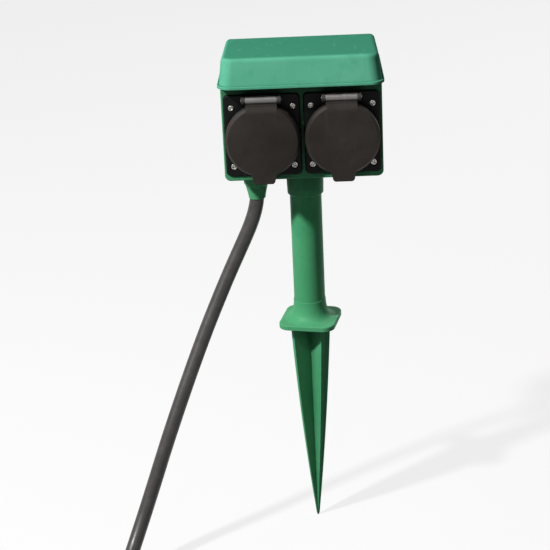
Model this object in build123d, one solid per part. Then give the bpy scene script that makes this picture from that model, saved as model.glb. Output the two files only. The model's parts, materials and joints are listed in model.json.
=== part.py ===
from build123d import *
import math
import os

# Garden socket post: two outdoor sockets with sprung lids under a hood, on a post with a ground spike.
# Millimetres, +Z up, the sockets face -Y. The origin is the centre of the ground plate's underside.

# Shared gaps and overruns
OVERRUN = 1.0  # how far a cutting tool runs past the face that it cuts
PUSH_PLAY = 0.1  # radial play of a push fit
PIN_PLAY = 0.05  # radial play of a hinge pin
SCREW_PLAY = 0.05  # radial play of a screw in its pilot hole
SOFT_GAP = 0.3  # room between a seal or a cover and its neighbour

# Ground spike: a plate on four tapered fins
PLATE_SIDE = 39.2
PLATE_CORNER_R = 8.0
PLATE_RIM = 3.4
PLATE_EDGE_R = 0.8
CONE_BASE_D = 30.0
CONE_TOP_Z = 11.2
SLEEVE_D = 24.0
SLEEVE_TOP_Z = 12.6
SLEEVE_EDGE_R = 0.6
SPIKE_LENGTH = 156.0
FIN_ROOT_R = 15.6
FIN_BULGE = 1.4  # how far the fin's edge bows out of a straight line at half length
FIN_TIP_R = 0.9
FIN_ROOT_THICKNESS = 3.0
FIN_TIP_THICKNESS = 1.2
FIN_TURN = 33.0  # degrees from +X to the first fin
FIN_COUNT = 4

# Sockets: one insert with a well, seen from the front
SOCKET_Z = 145.4
WELL_D = 39.5
WELL_DEPTH = 17.5
WELL_WALL = 1.75
WELL_FLOOR = 2.5
COLLAR_WALL = 2.45
COLLAR_HEIGHT = 6.7
COLLAR_D = WELL_D + 2 * COLLAR_WALL
FLANGE_MARGIN = 2.5  # flange beyond the collar, below and at the sides
FLANGE_SIDE = COLLAR_D + 2 * FLANGE_MARGIN
FLANGE_THICKNESS = 3.0
FLANGE_CORNER_R = 3.0
FLANGE_EDGE_R = 0.8
FLANGE_SEAL = 0.8
POCKET_DEPTH = 2.5
POCKET_PLAY = 0.3
SCREW_INSET = 4.7  # from the flange's edge to its screws
FLANGE_SCREW_HALF_PITCH = FLANGE_SIDE / 2 - SCREW_INSET
PIN_HOLE_D = 6.0
PIN_PITCH = 19.0
LUG_HEIGHT = 2.2
LUG_WIDTH = 4.6

# Lid: its round form, then its hinge
LID_PLAY = 0.8  # radial room between the collar and the lid's skirt
LID_SKIRT_WALL = 1.5
LID_SKIRT_INNER_D = COLLAR_D + 2 * LID_PLAY
LID_D = LID_SKIRT_INNER_D + 2 * LID_SKIRT_WALL
LID_OVERLAP = 2.0  # how far the skirt reaches over the collar
LID_BEVEL_START = 1.5  # from the lid's inside to the start of the bevel
LID_BEVEL_RISE = 2.0
LID_BEVEL = 1.7
LID_DOME = 1.2
LID_NECK_W = 20.4
LID_TAB_ROOT_W = 17.0
LID_TAB_W = 13.4
LID_TAB_DROP = 4.3
LID_TAB_SETBACK = 0.9  # the tab's back behind the lid's inside
LID_TAB_INSET = 3.0  # how far the tab reaches into the disc
LID_TAB_EDGE_R = 2.2
LID_SEAL_THICKNESS = 1.3
LID_SEAL_OVERLAP = 0.4  # radial, over the collar's outside
LID_SEAL_BORE_PLAY = 0.05  # radial, outside the well's wall
LID_SEAL_D = COLLAR_D + 2 * LID_SEAL_OVERLAP
LID_SEAL_INNER_D = WELL_D + 2 * LID_SEAL_BORE_PLAY
HINGE_CLEAR_RISE = 2.6  # hinge axis above the lid's rim
HINGE_RISE = LID_D / 2 + HINGE_CLEAR_RISE  # hinge axis above the socket's axis
HINGE_REACH = 6.9  # hinge axis in front of the flange
EAR_THICKNESS = 2.2
EAR_R = 3.1
EAR_FOOT_DROP = 4.6
KNUCKLE_D = 5.6
KNUCKLE_W = 20.6
KNUCKLE_SIDE_PLAY = 0.3
HINGE_PIN_D = 2.0
FLANGE_HEAD = 1.5  # flange above the hinge axis
FLANGE_FOOT = 1.8  # how much further the flange reaches below its screws than beside them
FLANGE_TOP_RISE = HINGE_RISE + FLANGE_HEAD
FLANGE_FOOT_DROP = FLANGE_SIDE / 2 + FLANGE_FOOT
FLANGE_HEIGHT = FLANGE_FOOT_DROP + FLANGE_TOP_RISE
FLANGE_MID_RISE = (FLANGE_TOP_RISE - FLANGE_FOOT_DROP) / 2

# Housing: front shell, hub and rear cover
MULLION_W = 2.6  # between the two flanges
SIDE_MARGIN = 1.8  # from a flange to the housing's side
FOOT_MARGIN = 3.7  # from the flanges to the housing's underside
HEAD_MARGIN = 8.4  # from the hinge axis to the housing's shoulder
SHOULDER_SETBACK = 7.0  # the part inside the hood is narrower by this on each side
NECK_HEIGHT = 11.6
SOCKET_PITCH = FLANGE_SIDE + MULLION_W
BODY_W = SOCKET_PITCH + FLANGE_SIDE + 2 * SIDE_MARGIN
BODY_BOTTOM_Z = SOCKET_Z - FLANGE_FOOT_DROP - FOOT_MARGIN
SHOULDER_Z = SOCKET_Z + HINGE_RISE + HEAD_MARGIN
NECK_W = BODY_W - 2 * SHOULDER_SETBACK
BODY_TOP_Z = SHOULDER_Z + NECK_HEIGHT
BODY_FRONT_Y = -30.0
BODY_BACK_Y = 21.0
BODY_WALL = 2.4
BODY_CORNER_R = 4.0
BODY_EDGE_R = 0.8
HUB_HEIGHT = 20.0
HUB_TOP_D = 25.8
HUB_FOOT_D = 24.6
HUB_FOOT_Z = BODY_BOTTOM_Z - HUB_HEIGHT
COVER_PLATE = 3.0
COVER_LIP = 2.0
COVER_LIP_WALL = 1.6
COVER_RIB = 1.6
COVER_RIB_DEPTH = 5.0
COVER_RIB_SHARES = (-0.3, 0.0, 0.3)
SEAL_THICKNESS = 0.8
SEAL_WIDTH = 1.4
COLUMN_D = 7.5

# Post tube
TUBE_D = 21.6
TUBE_WALL = 2.0
TUBE_FOOT_Z = 3.0
TUBE_HEADROOM = 2.5  # from the tube's top to the housing's underside
TUBE_TOP_Z = BODY_BOTTOM_Z - TUBE_HEADROOM

# Hood
HOOD_SIDE_OVERHANG = 0.5
HOOD_FRONT_OVERHANG = 13.0
HOOD_BACK_OVERHANG = 5.2
HOOD_SIDE_LEAN = 2.2
HOOD_BACK_TAPER = 1.0  # how much narrower the back is than the front, on each side
HOOD_FASCIA_LEAN = 4.6  # how far the fold lies behind the eave
HOOD_BACK_LEAN = 3.0
HOOD_ROOF_FALL = 2.7  # drop of the roof towards the back
HOOD_RISE = 19.2
HOOD_WALL = 2.2
HOOD_CORNER_R = 8.0
HOOD_BACK_CORNER_R = 3.6
HOOD_FOLD_R = 3.4
HOOD_EAVE_W = BODY_W + 2 * HOOD_SIDE_OVERHANG
HOOD_ROOF_W = HOOD_EAVE_W - 2 * HOOD_SIDE_LEAN
HOOD_EAVE_Z = SHOULDER_Z + SOFT_GAP
HOOD_RIDGE_Z = HOOD_EAVE_Z + HOOD_RISE
HOOD_FRONT_Y = BODY_FRONT_Y - HOOD_FRONT_OVERHANG
BEAD_HEIGHT = 1.9
BEAD_DEPTH = 1.1
HOOD_BOSS_D = 7.0
HOOD_BOSS_INSET = 11.5
HOOD_BOSS_X = NECK_W / 2 - HOOD_BOSS_INSET
HOOD_BOSS_Y = -4.0

# Hinge spring: a close coil round the pin, sunk into the knuckle
SPRING_BORE_D = 4.5
SPRING_BORE_DEPTH = 8.0
SPRING_WIRE_D = 0.6
SPRING_COIL_D = 3.4
SPRING_TURNS = 6
SPRING_STEP = 1.05

# Contacts behind the well
CARRIER_D = 38.0
CARRIER_DEPTH = 10.5
SLEEVE_CONTACT_D = 6.6
SLEEVE_CONTACT_BORE = 4.9
SLEEVE_CONTACT_TAIL = 3.0
CLIP_WIDTH = 5.0
CLIP_THICKNESS = 0.9
CLIP_WALL_GAP = 1.55  # between the clip's finger and the well's wall
CLIP_BOW = 2.8
CLIP_OUTER_REACH = WELL_D / 2 - CLIP_WALL_GAP
CLIP_NOSE_REACH = CLIP_OUTER_REACH - CLIP_BOW
CLIP_TIP_BACKSET = 4.5  # the clip's tip behind the well's mouth
CLIP_TAIL_DROP = 12.0
CENTRE_SCREW_D = 3.0
CENTRE_SCREW_HEAD_D = 5.6
CENTRE_SCREW_HEAD = 1.6

# Screws
FLANGE_SCREW_D = 3.0
FLANGE_SCREW_HEAD_D = 4.8
FLANGE_SCREW_HEAD = 1.5
FLANGE_SCREW_LENGTH = 11.0
COVER_SCREW_HEAD_D = 6.0
COVER_SCREW_HEAD = 1.8
COVER_SCREW_LENGTH = 13.0
HOOD_SCREW_HEAD_D = 5.4
HOOD_SCREW_LENGTH = 9.0

# Cable gland and supply cord
CORD_D = 10.0
GLAND_X = -33.2
GLAND_Y = 3.0
GLAND_FLANGE_D = 17.4
GLAND_NECK_D = 15.0
GLAND_TIP_D = 12.4
GLAND_TIP_Z = 97.0
GLAND_FLANGE_DROP = 5.0  # the flange's underside below the housing's
GLAND_THREAD_RISE = 8.0
GLAND_SEAL = 0.8
GLAND_THREAD_D = 13.4
GLAND_FLANGE_Z = BODY_BOTTOM_Z - GLAND_FLANGE_DROP
GLAND_THREAD_TOP_Z = BODY_BOTTOM_Z + GLAND_THREAD_RISE
NUT_FLATS = 17.0
NUT_HEIGHT = 3.6
STUB_RISE = 13.0  # the sheath's end above the housing's underside
STUB_TOP_Z = BODY_BOTTOM_Z + STUB_RISE
WIRE_D = 2.4
WIRE_BEND_R = 2.6
WIRE_SPREAD = 2.2

# The cord's free stretch, from the gland to the coil, as corners of its route
CORD_ROUTE = (
    (-33.2, 3.0, 97.0),
    (-33.2, 3.0, 90.8),
    (-33.9, 2.8, 84.6),
    (-35.5, 2.4, 78.2),
    (-38.4, 1.7, 70.8),
    (-44.7, 0.1, 58.4),
    (-57.0, -6.0, 36.0),
    (-76.4, -20.0, -5.0),
    (-99.4, -43.0, -60.0),
    (-115.4, -56.2, -103.5),
    (-124.4, -68.0, -126.0),
    (-131.8, -85.0, -142.5),
    (-135.4, -108.5, -151.0),
    (-135.8, -137.0, -151.0),
)

# The put-away coil
COIL_TURNS = 3.25
COIL_MEAN_R = 54.0
COIL_STEP = 10.8  # from one turn to the next beside it, and from layer to layer
COIL_LEAD = 24.0  # length of the bend that lifts the cord to the plug
PLUG_RISE = 2.0  # degrees that the lying plug's axis points up

# Plug
PLUG_FACE_D = 36.0
PLUG_FACE_LENGTH = 13.0
PLUG_GRIP_D = 27.0
PLUG_GRIP_LENGTH = 24.0
PLUG_TAIL_D = 15.0
PLUG_TAIL_END_D = 12.0
PLUG_TAIL_LENGTH = 24.0
PLUG_EDGE_R = 1.6
PLUG_PIN_D = 4.8
PLUG_PIN_LENGTH = 19.0
PLUG_PIN_ROOT_D = 4.0
PLUG_PIN_SEAT = 8.0
PLUG_NOTCH_W = 5.2
PLUG_NOTCH_DEPTH = 3.0
EARTH_STRIP = 0.8

# Places that follow from the sizes
FLANGE_SEAL_Y = BODY_FRONT_Y + POCKET_DEPTH
FLANGE_BACK_Y = FLANGE_SEAL_Y - FLANGE_SEAL
FLANGE_FRONT_Y = FLANGE_BACK_Y - FLANGE_THICKNESS
COLLAR_FRONT_Y = FLANGE_FRONT_Y - COLLAR_HEIGHT
WELL_FLOOR_Y = COLLAR_FRONT_Y + WELL_DEPTH
WELL_BACK_Y = WELL_FLOOR_Y + WELL_FLOOR
CARRIER_BACK_Y = WELL_BACK_Y + CARRIER_DEPTH
WELL_OUTER_D = WELL_D + 2 * WELL_WALL
HINGE_Y = FLANGE_FRONT_Y - HINGE_REACH
LID_SKIRT_BACK_Y = COLLAR_FRONT_Y + LID_OVERLAP
LID_INNER_Y = COLLAR_FRONT_Y - SOFT_GAP - LID_SEAL_THICKNESS
LID_BEVEL_Y = LID_INNER_Y - LID_BEVEL_START
LID_RIM_Y = LID_BEVEL_Y - LID_BEVEL_RISE
LID_DOME_Y = LID_RIM_Y - LID_DOME
LID_TAB_BACK_Y = LID_INNER_Y + LID_TAB_SETBACK
BODY_WALL_FRONT_Y = FLANGE_SEAL_Y + BODY_WALL
SEAL_BACK_Y = BODY_BACK_Y + SEAL_THICKNESS
COVER_BACK_Y = SEAL_BACK_Y + COVER_PLATE
HOOD_BACK_Y = COVER_BACK_Y + HOOD_BACK_OVERHANG
SOCKET_SIDES = {"left": -SOCKET_PITCH / 2, "right": SOCKET_PITCH / 2}
COLUMN_X = SOCKET_PITCH / 2 + FLANGE_SCREW_HALF_PITCH
COLUMN_ZS = (SOCKET_Z - FLANGE_SCREW_HALF_PITCH, SOCKET_Z + FLANGE_SCREW_HALF_PITCH)
TERMINAL_Y = CARRIER_BACK_Y + SLEEVE_CONTACT_TAIL


def prism_y(outline, back, front):
    """An outline drawn as (x, z), extruded from its back face to its front face along Y."""
    place = Plane((0, back, 0), x_dir=(1, 0, 0), z_dir=(0, -1, 0))
    return extrude(place * outline, amount=back - front)


def prism_x(outline, left, right):
    """An outline drawn as (y, z), extruded from its left face to its right face along X."""
    place = Plane((left, 0, 0), x_dir=(0, 1, 0), z_dir=(1, 0, 0))
    return extrude(place * outline, amount=right - left)


def prism_z(outline, low, high):
    """An outline drawn as (x, y), extruded upwards."""
    return extrude(Pos(0, 0, low) * outline, amount=high - low)


def block(x_span, y_span, z_span):
    """A box between two x, two y and two z values."""
    sizes = [span[1] - span[0] for span in (x_span, y_span, z_span)]
    centre = [sum(span) / 2 for span in (x_span, y_span, z_span)]
    return Pos(*centre) * Box(*sizes)


def rod_y(x, z, back, front, diameter):
    """A round bar along Y."""
    return prism_y(Pos(x, z) * Circle(diameter / 2), back, front)


def rod_z(x, y, low, high, diameter):
    """A round bar along Z."""
    return prism_z(Pos(x, y) * Circle(diameter / 2), low, high)


def rod_x(y, z, left, right, diameter):
    """A round bar along X."""
    return prism_x(Pos(y, z) * Circle(diameter / 2), left, right)


def turned_y(points):
    """A solid turned about the Y axis from a closed outline of (radius, y) points."""
    return revolve(make_face(Polyline(*points, close=True)), Axis.Y)


def turned_z(points):
    """A solid turned about the Z axis from a closed outline of (radius, z) points."""
    face = make_face(Polyline(*[(r, 0, z) for r, z in points], close=True))
    return revolve(face, Axis.Z)


def save(name, shape):
    """Writes one node."""
    export_step(shape, os.path.join("parts", name + ".step"))


def group(solids):
    """Several separate solids as one node."""
    return Compound(children=list(solids))


def screw(head_d, head_height, shank_d, length):
    """A screw along -Z from its head's underside at the origin, its head above."""
    head = turned_z(
        (
            (0, 0),
            (head_d / 2, 0),
            (head_d / 2, head_height / 2),
            (head_d / 2 - head_height / 2, head_height),
            (0, head_height),
        )
    )
    point = shank_d / 2
    shank = turned_z(
        ((0, 0), (shank_d / 2, 0), (shank_d / 2, point - length), (0, -length))
    )
    return head + shank


def facing_front(shape):
    """Turns a screw so that its head looks to the front and its point to the back."""
    return Rot(X=90) * shape


def facing_back(shape):
    """Turns a screw so that its head looks to the back."""
    return Rot(X=-90) * shape


# Ground spike and post


def spike_blade():
    """Two opposite fins as one blade in the XZ plane, bowed at the edges and thinner at the tip."""
    mid_r = (FIN_ROOT_R + FIN_TIP_R) / 2 + FIN_BULGE
    tip_z = -SPIKE_LENGTH
    shoulder_z = tip_z + 2 * FIN_TIP_R
    outline = make_face(
        [
            Line((-FIN_ROOT_R, 0), (FIN_ROOT_R, 0)),
            ThreePointArc((FIN_ROOT_R, 0), (mid_r, shoulder_z / 2), (FIN_TIP_R, shoulder_z)),
            Line((FIN_TIP_R, shoulder_z), (0, tip_z)),
            Line((0, tip_z), (-FIN_TIP_R, shoulder_z)),
            ThreePointArc((-FIN_TIP_R, shoulder_z), (-mid_r, shoulder_z / 2), (-FIN_ROOT_R, 0)),
        ]
    )
    flat = prism_y(outline, FIN_ROOT_THICKNESS, -FIN_ROOT_THICKNESS)
    wedge = make_face(
        Polyline(
            (-FIN_ROOT_THICKNESS / 2, 0),
            (FIN_ROOT_THICKNESS / 2, 0),
            (FIN_TIP_THICKNESS / 2, tip_z),
            (-FIN_TIP_THICKNESS / 2, tip_z),
            close=True,
        )
    )
    return flat & prism_x(wedge, -FIN_ROOT_R - OVERRUN, FIN_ROOT_R + OVERRUN)


def make_ground_spike():
    """Plate, cone and sleeve on a cross of four fins, moulded in one piece."""
    plate = prism_z(RectangleRounded(PLATE_SIDE, PLATE_SIDE, PLATE_CORNER_R), 0, PLATE_RIM)
    plate = fillet(plate.faces().sort_by(Axis.Z)[-1].edges(), PLATE_EDGE_R)
    plate = Rot(Z=FIN_TURN - 45) * plate
    cone = turned_z(
        (
            (0, PLATE_RIM / 2),
            (PLATE_SIDE / 2, PLATE_RIM / 2),
            (PLATE_SIDE / 2, PLATE_RIM - PLATE_EDGE_R),
            (CONE_BASE_D / 2, PLATE_RIM + PLATE_EDGE_R),
            (SLEEVE_D / 2, CONE_TOP_Z),
            (SLEEVE_D / 2, SLEEVE_TOP_Z - SLEEVE_EDGE_R),
            (SLEEVE_D / 2 - SLEEVE_EDGE_R, SLEEVE_TOP_Z),
            (0, SLEEVE_TOP_Z),
        )
    )
    foot = plate + cone
    for turn in range(FIN_COUNT // 2):
        foot += Rot(Z=FIN_TURN + 90 * turn) * spike_blade()
    bore = rod_z(0, 0, TUBE_FOOT_Z, SLEEVE_TOP_Z + OVERRUN, TUBE_D + 2 * PUSH_PLAY)
    return foot - bore


def make_post_tube():
    """Round tube between the spike's sleeve and the housing's hub."""
    outer = rod_z(0, 0, TUBE_FOOT_Z, TUBE_TOP_Z, TUBE_D)
    inner = rod_z(0, 0, TUBE_FOOT_Z - OVERRUN, TUBE_TOP_Z + OVERRUN, TUBE_D - 2 * TUBE_WALL)
    return outer - inner


# Housing


def body_outline(inset):
    """The housing seen from the front, drawn as (x, z): wide below the shoulder, narrower in the hood."""
    lower = Pos(0, (BODY_BOTTOM_Z + SHOULDER_Z) / 2) * Rectangle(
        BODY_W - 2 * inset, SHOULDER_Z - BODY_BOTTOM_Z - 2 * inset
    )
    upper = Pos(0, (SHOULDER_Z + BODY_TOP_Z) / 2) * Rectangle(
        NECK_W - 2 * inset, BODY_TOP_Z - SHOULDER_Z + 2 * BODY_CORNER_R - 2 * inset
    )
    top_cut = Pos(0, BODY_TOP_Z - inset + BODY_CORNER_R) * Rectangle(BODY_W, 2 * BODY_CORNER_R)
    outline = lower + (upper - top_cut)
    low = outline.vertices().filter_by(lambda v: v.Y < SOCKET_Z)
    return fillet(low, BODY_CORNER_R - min(inset, BODY_CORNER_R / 2))


def outline_ring(outer_inset, inner_inset):
    """The band between two insets of the housing's outline."""
    return body_outline(outer_inset) - body_outline(inner_inset)


def column_places():
    """The four corners (x, z) where a flange screw and a cover screw share a column."""
    return [(x, z) for x in (-COLUMN_X, COLUMN_X) for z in COLUMN_ZS]


def inner_boss_places():
    """The four flange-screw bosses beside the mullion."""
    x = SOCKET_PITCH / 2 - FLANGE_SCREW_HALF_PITCH
    return [(side, z) for side in (-x, x) for z in COLUMN_ZS]


def make_housing_body():
    """Front shell: two pockets for the sockets, a hub for the post and a hole for the gland."""
    shell = prism_y(body_outline(0), BODY_BACK_Y, BODY_FRONT_Y)
    front_edges = shell.faces().sort_by(Axis.Y)[0].edges()
    shell = fillet(front_edges, BODY_EDGE_R)
    shell -= prism_y(body_outline(BODY_WALL), BODY_BACK_Y + OVERRUN, BODY_WALL_FRONT_Y)
    floor_z = BODY_BOTTOM_Z + BODY_WALL
    hub = turned_z(
        (
            (0, HUB_FOOT_Z),
            (HUB_FOOT_D / 2 - BODY_EDGE_R, HUB_FOOT_Z),
            (HUB_FOOT_D / 2, HUB_FOOT_Z + BODY_EDGE_R),
            (HUB_TOP_D / 2, floor_z),
            (0, floor_z),
        )
    )
    shell += hub
    for x, z in column_places():
        shell += rod_y(x, z, BODY_BACK_Y, BODY_WALL_FRONT_Y - BODY_WALL / 2, COLUMN_D)
    boss_back = BODY_WALL_FRONT_Y + FLANGE_SCREW_LENGTH
    for x, z in inner_boss_places():
        shell += rod_y(x, z, boss_back, BODY_WALL_FRONT_Y - BODY_WALL / 2, COLUMN_D)
    for x in SOCKET_SIDES.values():
        pocket = Pos(x, SOCKET_Z) * flange_outline(-POCKET_PLAY)
        shell -= prism_y(pocket, FLANGE_SEAL_Y, BODY_FRONT_Y - OVERRUN)
        hole = WELL_OUTER_D + 2 * POCKET_PLAY
        shell -= rod_y(x, SOCKET_Z, BODY_WALL_FRONT_Y + OVERRUN, BODY_FRONT_Y, hole)
    pilot = FLANGE_SCREW_D + 2 * SCREW_PLAY
    flange_reach = FLANGE_FRONT_Y + FLANGE_SCREW_LENGTH + OVERRUN
    for x, z in column_places() + inner_boss_places():
        shell -= rod_y(x, z, flange_reach, BODY_FRONT_Y, pilot)
    cover_reach = COVER_BACK_Y - COVER_SCREW_LENGTH - OVERRUN
    for x, z in column_places():
        shell -= rod_y(x, z, BODY_BACK_Y + OVERRUN, cover_reach, pilot)
    shell -= rod_z(0, 0, HUB_FOOT_Z - OVERRUN, TUBE_TOP_Z + PUSH_PLAY, TUBE_D + 2 * PUSH_PLAY)
    gland_hole = GLAND_THREAD_D + 2 * PUSH_PLAY
    shell -= rod_z(GLAND_X, GLAND_Y, BODY_BOTTOM_Z - OVERRUN, floor_z + OVERRUN, gland_hole)
    for side in (-1, 1):
        top = BODY_TOP_Z + OVERRUN
        shell -= rod_z(side * HOOD_BOSS_X, HOOD_BOSS_Y, top - BODY_WALL * 2, top, pilot)
    return shell


def make_rear_cover():
    """Rear cover: a plate with a lip inside the shell, stiffening ribs and four screw seats."""
    cover = prism_y(body_outline(0), COVER_BACK_Y, SEAL_BACK_Y)
    cover = fillet(cover.faces().sort_by(Axis.Y)[-1].edges(), BODY_EDGE_R)
    lip_inset = BODY_WALL + SOFT_GAP
    lip = outline_ring(lip_inset, lip_inset + COVER_LIP_WALL)
    lip_front = BODY_BACK_Y - COVER_LIP
    cover += prism_y(lip, SEAL_BACK_Y, lip_front)
    rib_half = (COLUMN_ZS[1] - COLUMN_ZS[0]) / 2
    for share in COVER_RIB_SHARES:
        x = share * BODY_W
        spans = (
            (x - COVER_RIB / 2, x + COVER_RIB / 2),
            (SEAL_BACK_Y - COVER_RIB_DEPTH, SEAL_BACK_Y),
            (SOCKET_Z - rib_half, SOCKET_Z + rib_half),
        )
        cover += block(*spans)
    for x, z in column_places():
        cover -= rod_y(x, z, SEAL_BACK_Y, lip_front - OVERRUN, COLUMN_D + 2 * SOFT_GAP)
        cover -= rod_y(x, z, COVER_BACK_Y, SEAL_BACK_Y - OVERRUN, FLANGE_SCREW_D + 2 * PUSH_PLAY)
        sink = COVER_BACK_Y - COVER_SCREW_HEAD
        cover -= rod_y(x, z, COVER_BACK_Y + OVERRUN, sink, COVER_SCREW_HEAD_D + 2 * PUSH_PLAY)
    return cover


def make_rear_seal():
    """Rubber frame between the shell's rim and the rear cover."""
    inset = (BODY_WALL - SEAL_WIDTH) / 2
    return prism_y(outline_ring(inset, inset + SEAL_WIDTH), SEAL_BACK_Y, BODY_BACK_Y)


def make_cover_screws():
    """Four screws through the rear cover into the columns."""
    length = COVER_SCREW_LENGTH - COVER_SCREW_HEAD
    one = facing_back(screw(COVER_SCREW_HEAD_D, COVER_SCREW_HEAD, FLANGE_SCREW_D, length))
    seat = COVER_BACK_Y - COVER_SCREW_HEAD
    return group(Pos(x, seat, z) * one for x, z in column_places())


# Hood


def hood_plan(width, depth, inset):
    """The hood from above, drawn as (x, y) and drawn in by the inset: round in front, tighter behind."""
    front = width / 2 - inset
    back = front - HOOD_BACK_TAPER
    reach = depth / 2 - inset
    corners = ((-front, -reach), (front, -reach), (back, reach), (-back, reach))
    plan = make_face(Polyline(*corners, close=True))
    plan = fillet(plan.vertices().group_by(Axis.Y)[0], HOOD_CORNER_R - inset)
    return fillet(plan.vertices().group_by(Axis.Y)[-1], HOOD_BACK_CORNER_R - inset)


def hood_form(inset, low_z):
    """The hood's solid form, drawn in by the inset: rounded eave below, smaller tilted roof above."""
    depth = HOOD_BACK_Y - HOOD_FRONT_Y
    roof_depth = depth - HOOD_FASCIA_LEAN - HOOD_BACK_LEAN
    mid_y = (HOOD_FRONT_Y + HOOD_BACK_Y) / 2
    roof_mid_y = mid_y + (HOOD_FASCIA_LEAN - HOOD_BACK_LEAN) / 2
    rise = HOOD_RIDGE_Z - HOOD_EAVE_Z
    below_share = (HOOD_EAVE_Z - low_z) / rise
    low_w = HOOD_EAVE_W + (HOOD_EAVE_W - HOOD_ROOF_W) * below_share
    low_depth = depth + (depth - roof_depth) * below_share
    low_mid_y = mid_y + (mid_y - roof_mid_y) * below_share
    eave = Pos(0, low_mid_y, low_z) * hood_plan(low_w, low_depth, inset)
    fall = HOOD_ROOF_FALL / roof_depth
    roof_z = HOOD_RIDGE_Z - HOOD_ROOF_FALL / 2 - inset
    roof_plane = Plane((0, roof_mid_y, roof_z), x_dir=(1, 0, 0), z_dir=(0, fall, 1))
    roof = roof_plane * hood_plan(HOOD_ROOF_W, roof_depth, inset)
    form = loft([eave.face(), roof.face()], ruled=True)
    return fillet(form.faces().sort_by(Axis.Z)[-1].edges(), HOOD_FOLD_R - inset)


def make_hood():
    """Hood: a thin roof shell with a bead round its eave and two screw bosses inside."""
    bead_plan = hood_plan(HOOD_EAVE_W, HOOD_BACK_Y - HOOD_FRONT_Y, -BEAD_DEPTH)
    bead_place = Pos(0, (HOOD_FRONT_Y + HOOD_BACK_Y) / 2)
    bead = prism_z(bead_place * bead_plan, HOOD_EAVE_Z, HOOD_EAVE_Z + BEAD_HEIGHT)
    for rim in (bead.faces().sort_by(Axis.Z)[0], bead.faces().sort_by(Axis.Z)[-1]):
        bead = fillet(rim.edges(), BEAD_DEPTH / 2)
    shell = bead + hood_form(0, HOOD_EAVE_Z) - hood_form(HOOD_WALL, HOOD_EAVE_Z - OVERRUN)
    inner = hood_form(HOOD_WALL / 2, HOOD_EAVE_Z - OVERRUN)
    for side in (-1, 1):
        boss = rod_z(side * HOOD_BOSS_X, HOOD_BOSS_Y, BODY_TOP_Z, HOOD_RIDGE_Z, HOOD_BOSS_D)
        shell += boss & inner
        drill_top = BODY_TOP_Z + HOOD_SCREW_LENGTH - 2 * BODY_WALL
        pilot = FLANGE_SCREW_D + 2 * SCREW_PLAY
        low = BODY_TOP_Z - OVERRUN
        shell -= rod_z(side * HOOD_BOSS_X, HOOD_BOSS_Y, low, drill_top + OVERRUN / 2, pilot)
    return shell


def make_hood_screws():
    """Two screws from inside the shell up into the hood's bosses."""
    one = Rot(X=180) * screw(
        HOOD_SCREW_HEAD_D, FLANGE_SCREW_HEAD, FLANGE_SCREW_D, HOOD_SCREW_LENGTH - BODY_WALL
    )
    z = BODY_TOP_Z - BODY_WALL
    return group(Pos(side * HOOD_BOSS_X, HOOD_BOSS_Y, z) * one for side in (-1, 1))


# Sockets, drawn about their own axis and then set in place


def flange_outline(inset):
    """The flange seen from the front, about the socket's axis: taller above, where the hinge stands."""
    outline = RectangleRounded(
        FLANGE_SIDE - 2 * inset, FLANGE_HEIGHT - 2 * inset, FLANGE_CORNER_R - inset
    )
    return Pos(0, FLANGE_MID_RISE) * outline


def make_socket_insert():
    """Flange with a round collar and well, pin holes, guide lugs and two hinge ears."""
    flange = prism_y(flange_outline(0), FLANGE_BACK_Y, FLANGE_FRONT_Y)
    flange = fillet(flange.faces().sort_by(Axis.Y)[0].edges(), FLANGE_EDGE_R)
    insert = flange + rod_y(0, 0, WELL_BACK_Y, FLANGE_BACK_Y, WELL_OUTER_D)
    insert += rod_y(0, 0, FLANGE_BACK_Y, COLLAR_FRONT_Y, COLLAR_D)
    insert -= rod_y(0, 0, WELL_FLOOR_Y, COLLAR_FRONT_Y - OVERRUN, WELL_D)
    lug_reach = WELL_D / 2 + WELL_WALL / 2
    for side in (-1, 1):
        spans = sorted((side * (WELL_D / 2 - LUG_HEIGHT), side * lug_reach))
        lug_z = (-LUG_WIDTH / 2, LUG_WIDTH / 2)
        insert += block(spans, (COLLAR_FRONT_Y + LUG_HEIGHT, WELL_FLOOR_Y + WELL_FLOOR / 2), lug_z)
        insert -= rod_y(side * PIN_PITCH / 2, 0, WELL_BACK_Y + OVERRUN, WELL_FLOOR_Y - OVERRUN, PIN_HOLE_D)
        slot_reaches = (CLIP_OUTER_REACH - 2 * CLIP_THICKNESS, CLIP_OUTER_REACH + PUSH_PLAY)
        slot_z = sorted(side * reach for reach in slot_reaches)
        slot_x = CLIP_WIDTH / 2 + PUSH_PLAY
        insert -= block((-slot_x, slot_x), (WELL_FLOOR_Y - OVERRUN, WELL_BACK_Y + OVERRUN), slot_z)
    bore = CENTRE_SCREW_D + 2 * PUSH_PLAY
    insert -= rod_y(0, 0, WELL_BACK_Y + OVERRUN, WELL_FLOOR_Y - OVERRUN, bore)
    screw_bore = FLANGE_SCREW_D + 2 * PUSH_PLAY
    head_bore = FLANGE_SCREW_HEAD_D + 2 * PUSH_PLAY
    for x, z in flange_screw_places():
        insert -= rod_y(x, z, FLANGE_BACK_Y + OVERRUN, FLANGE_FRONT_Y - OVERRUN, screw_bore)
        insert -= rod_y(x, z, FLANGE_FRONT_Y + FLANGE_SCREW_HEAD, FLANGE_FRONT_Y - OVERRUN, head_bore)
    ear_left = KNUCKLE_W / 2 + KNUCKLE_SIDE_PLAY
    for side in (-1, 1):
        span = sorted((side * ear_left, side * (ear_left + EAR_THICKNESS)))
        insert += hinge_ear(*span)
    ear_bore = HINGE_PIN_D + PIN_PLAY
    reach = ear_left + EAR_THICKNESS + OVERRUN
    return insert - rod_x(HINGE_Y, HINGE_RISE, -reach, reach, ear_bore)


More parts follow.
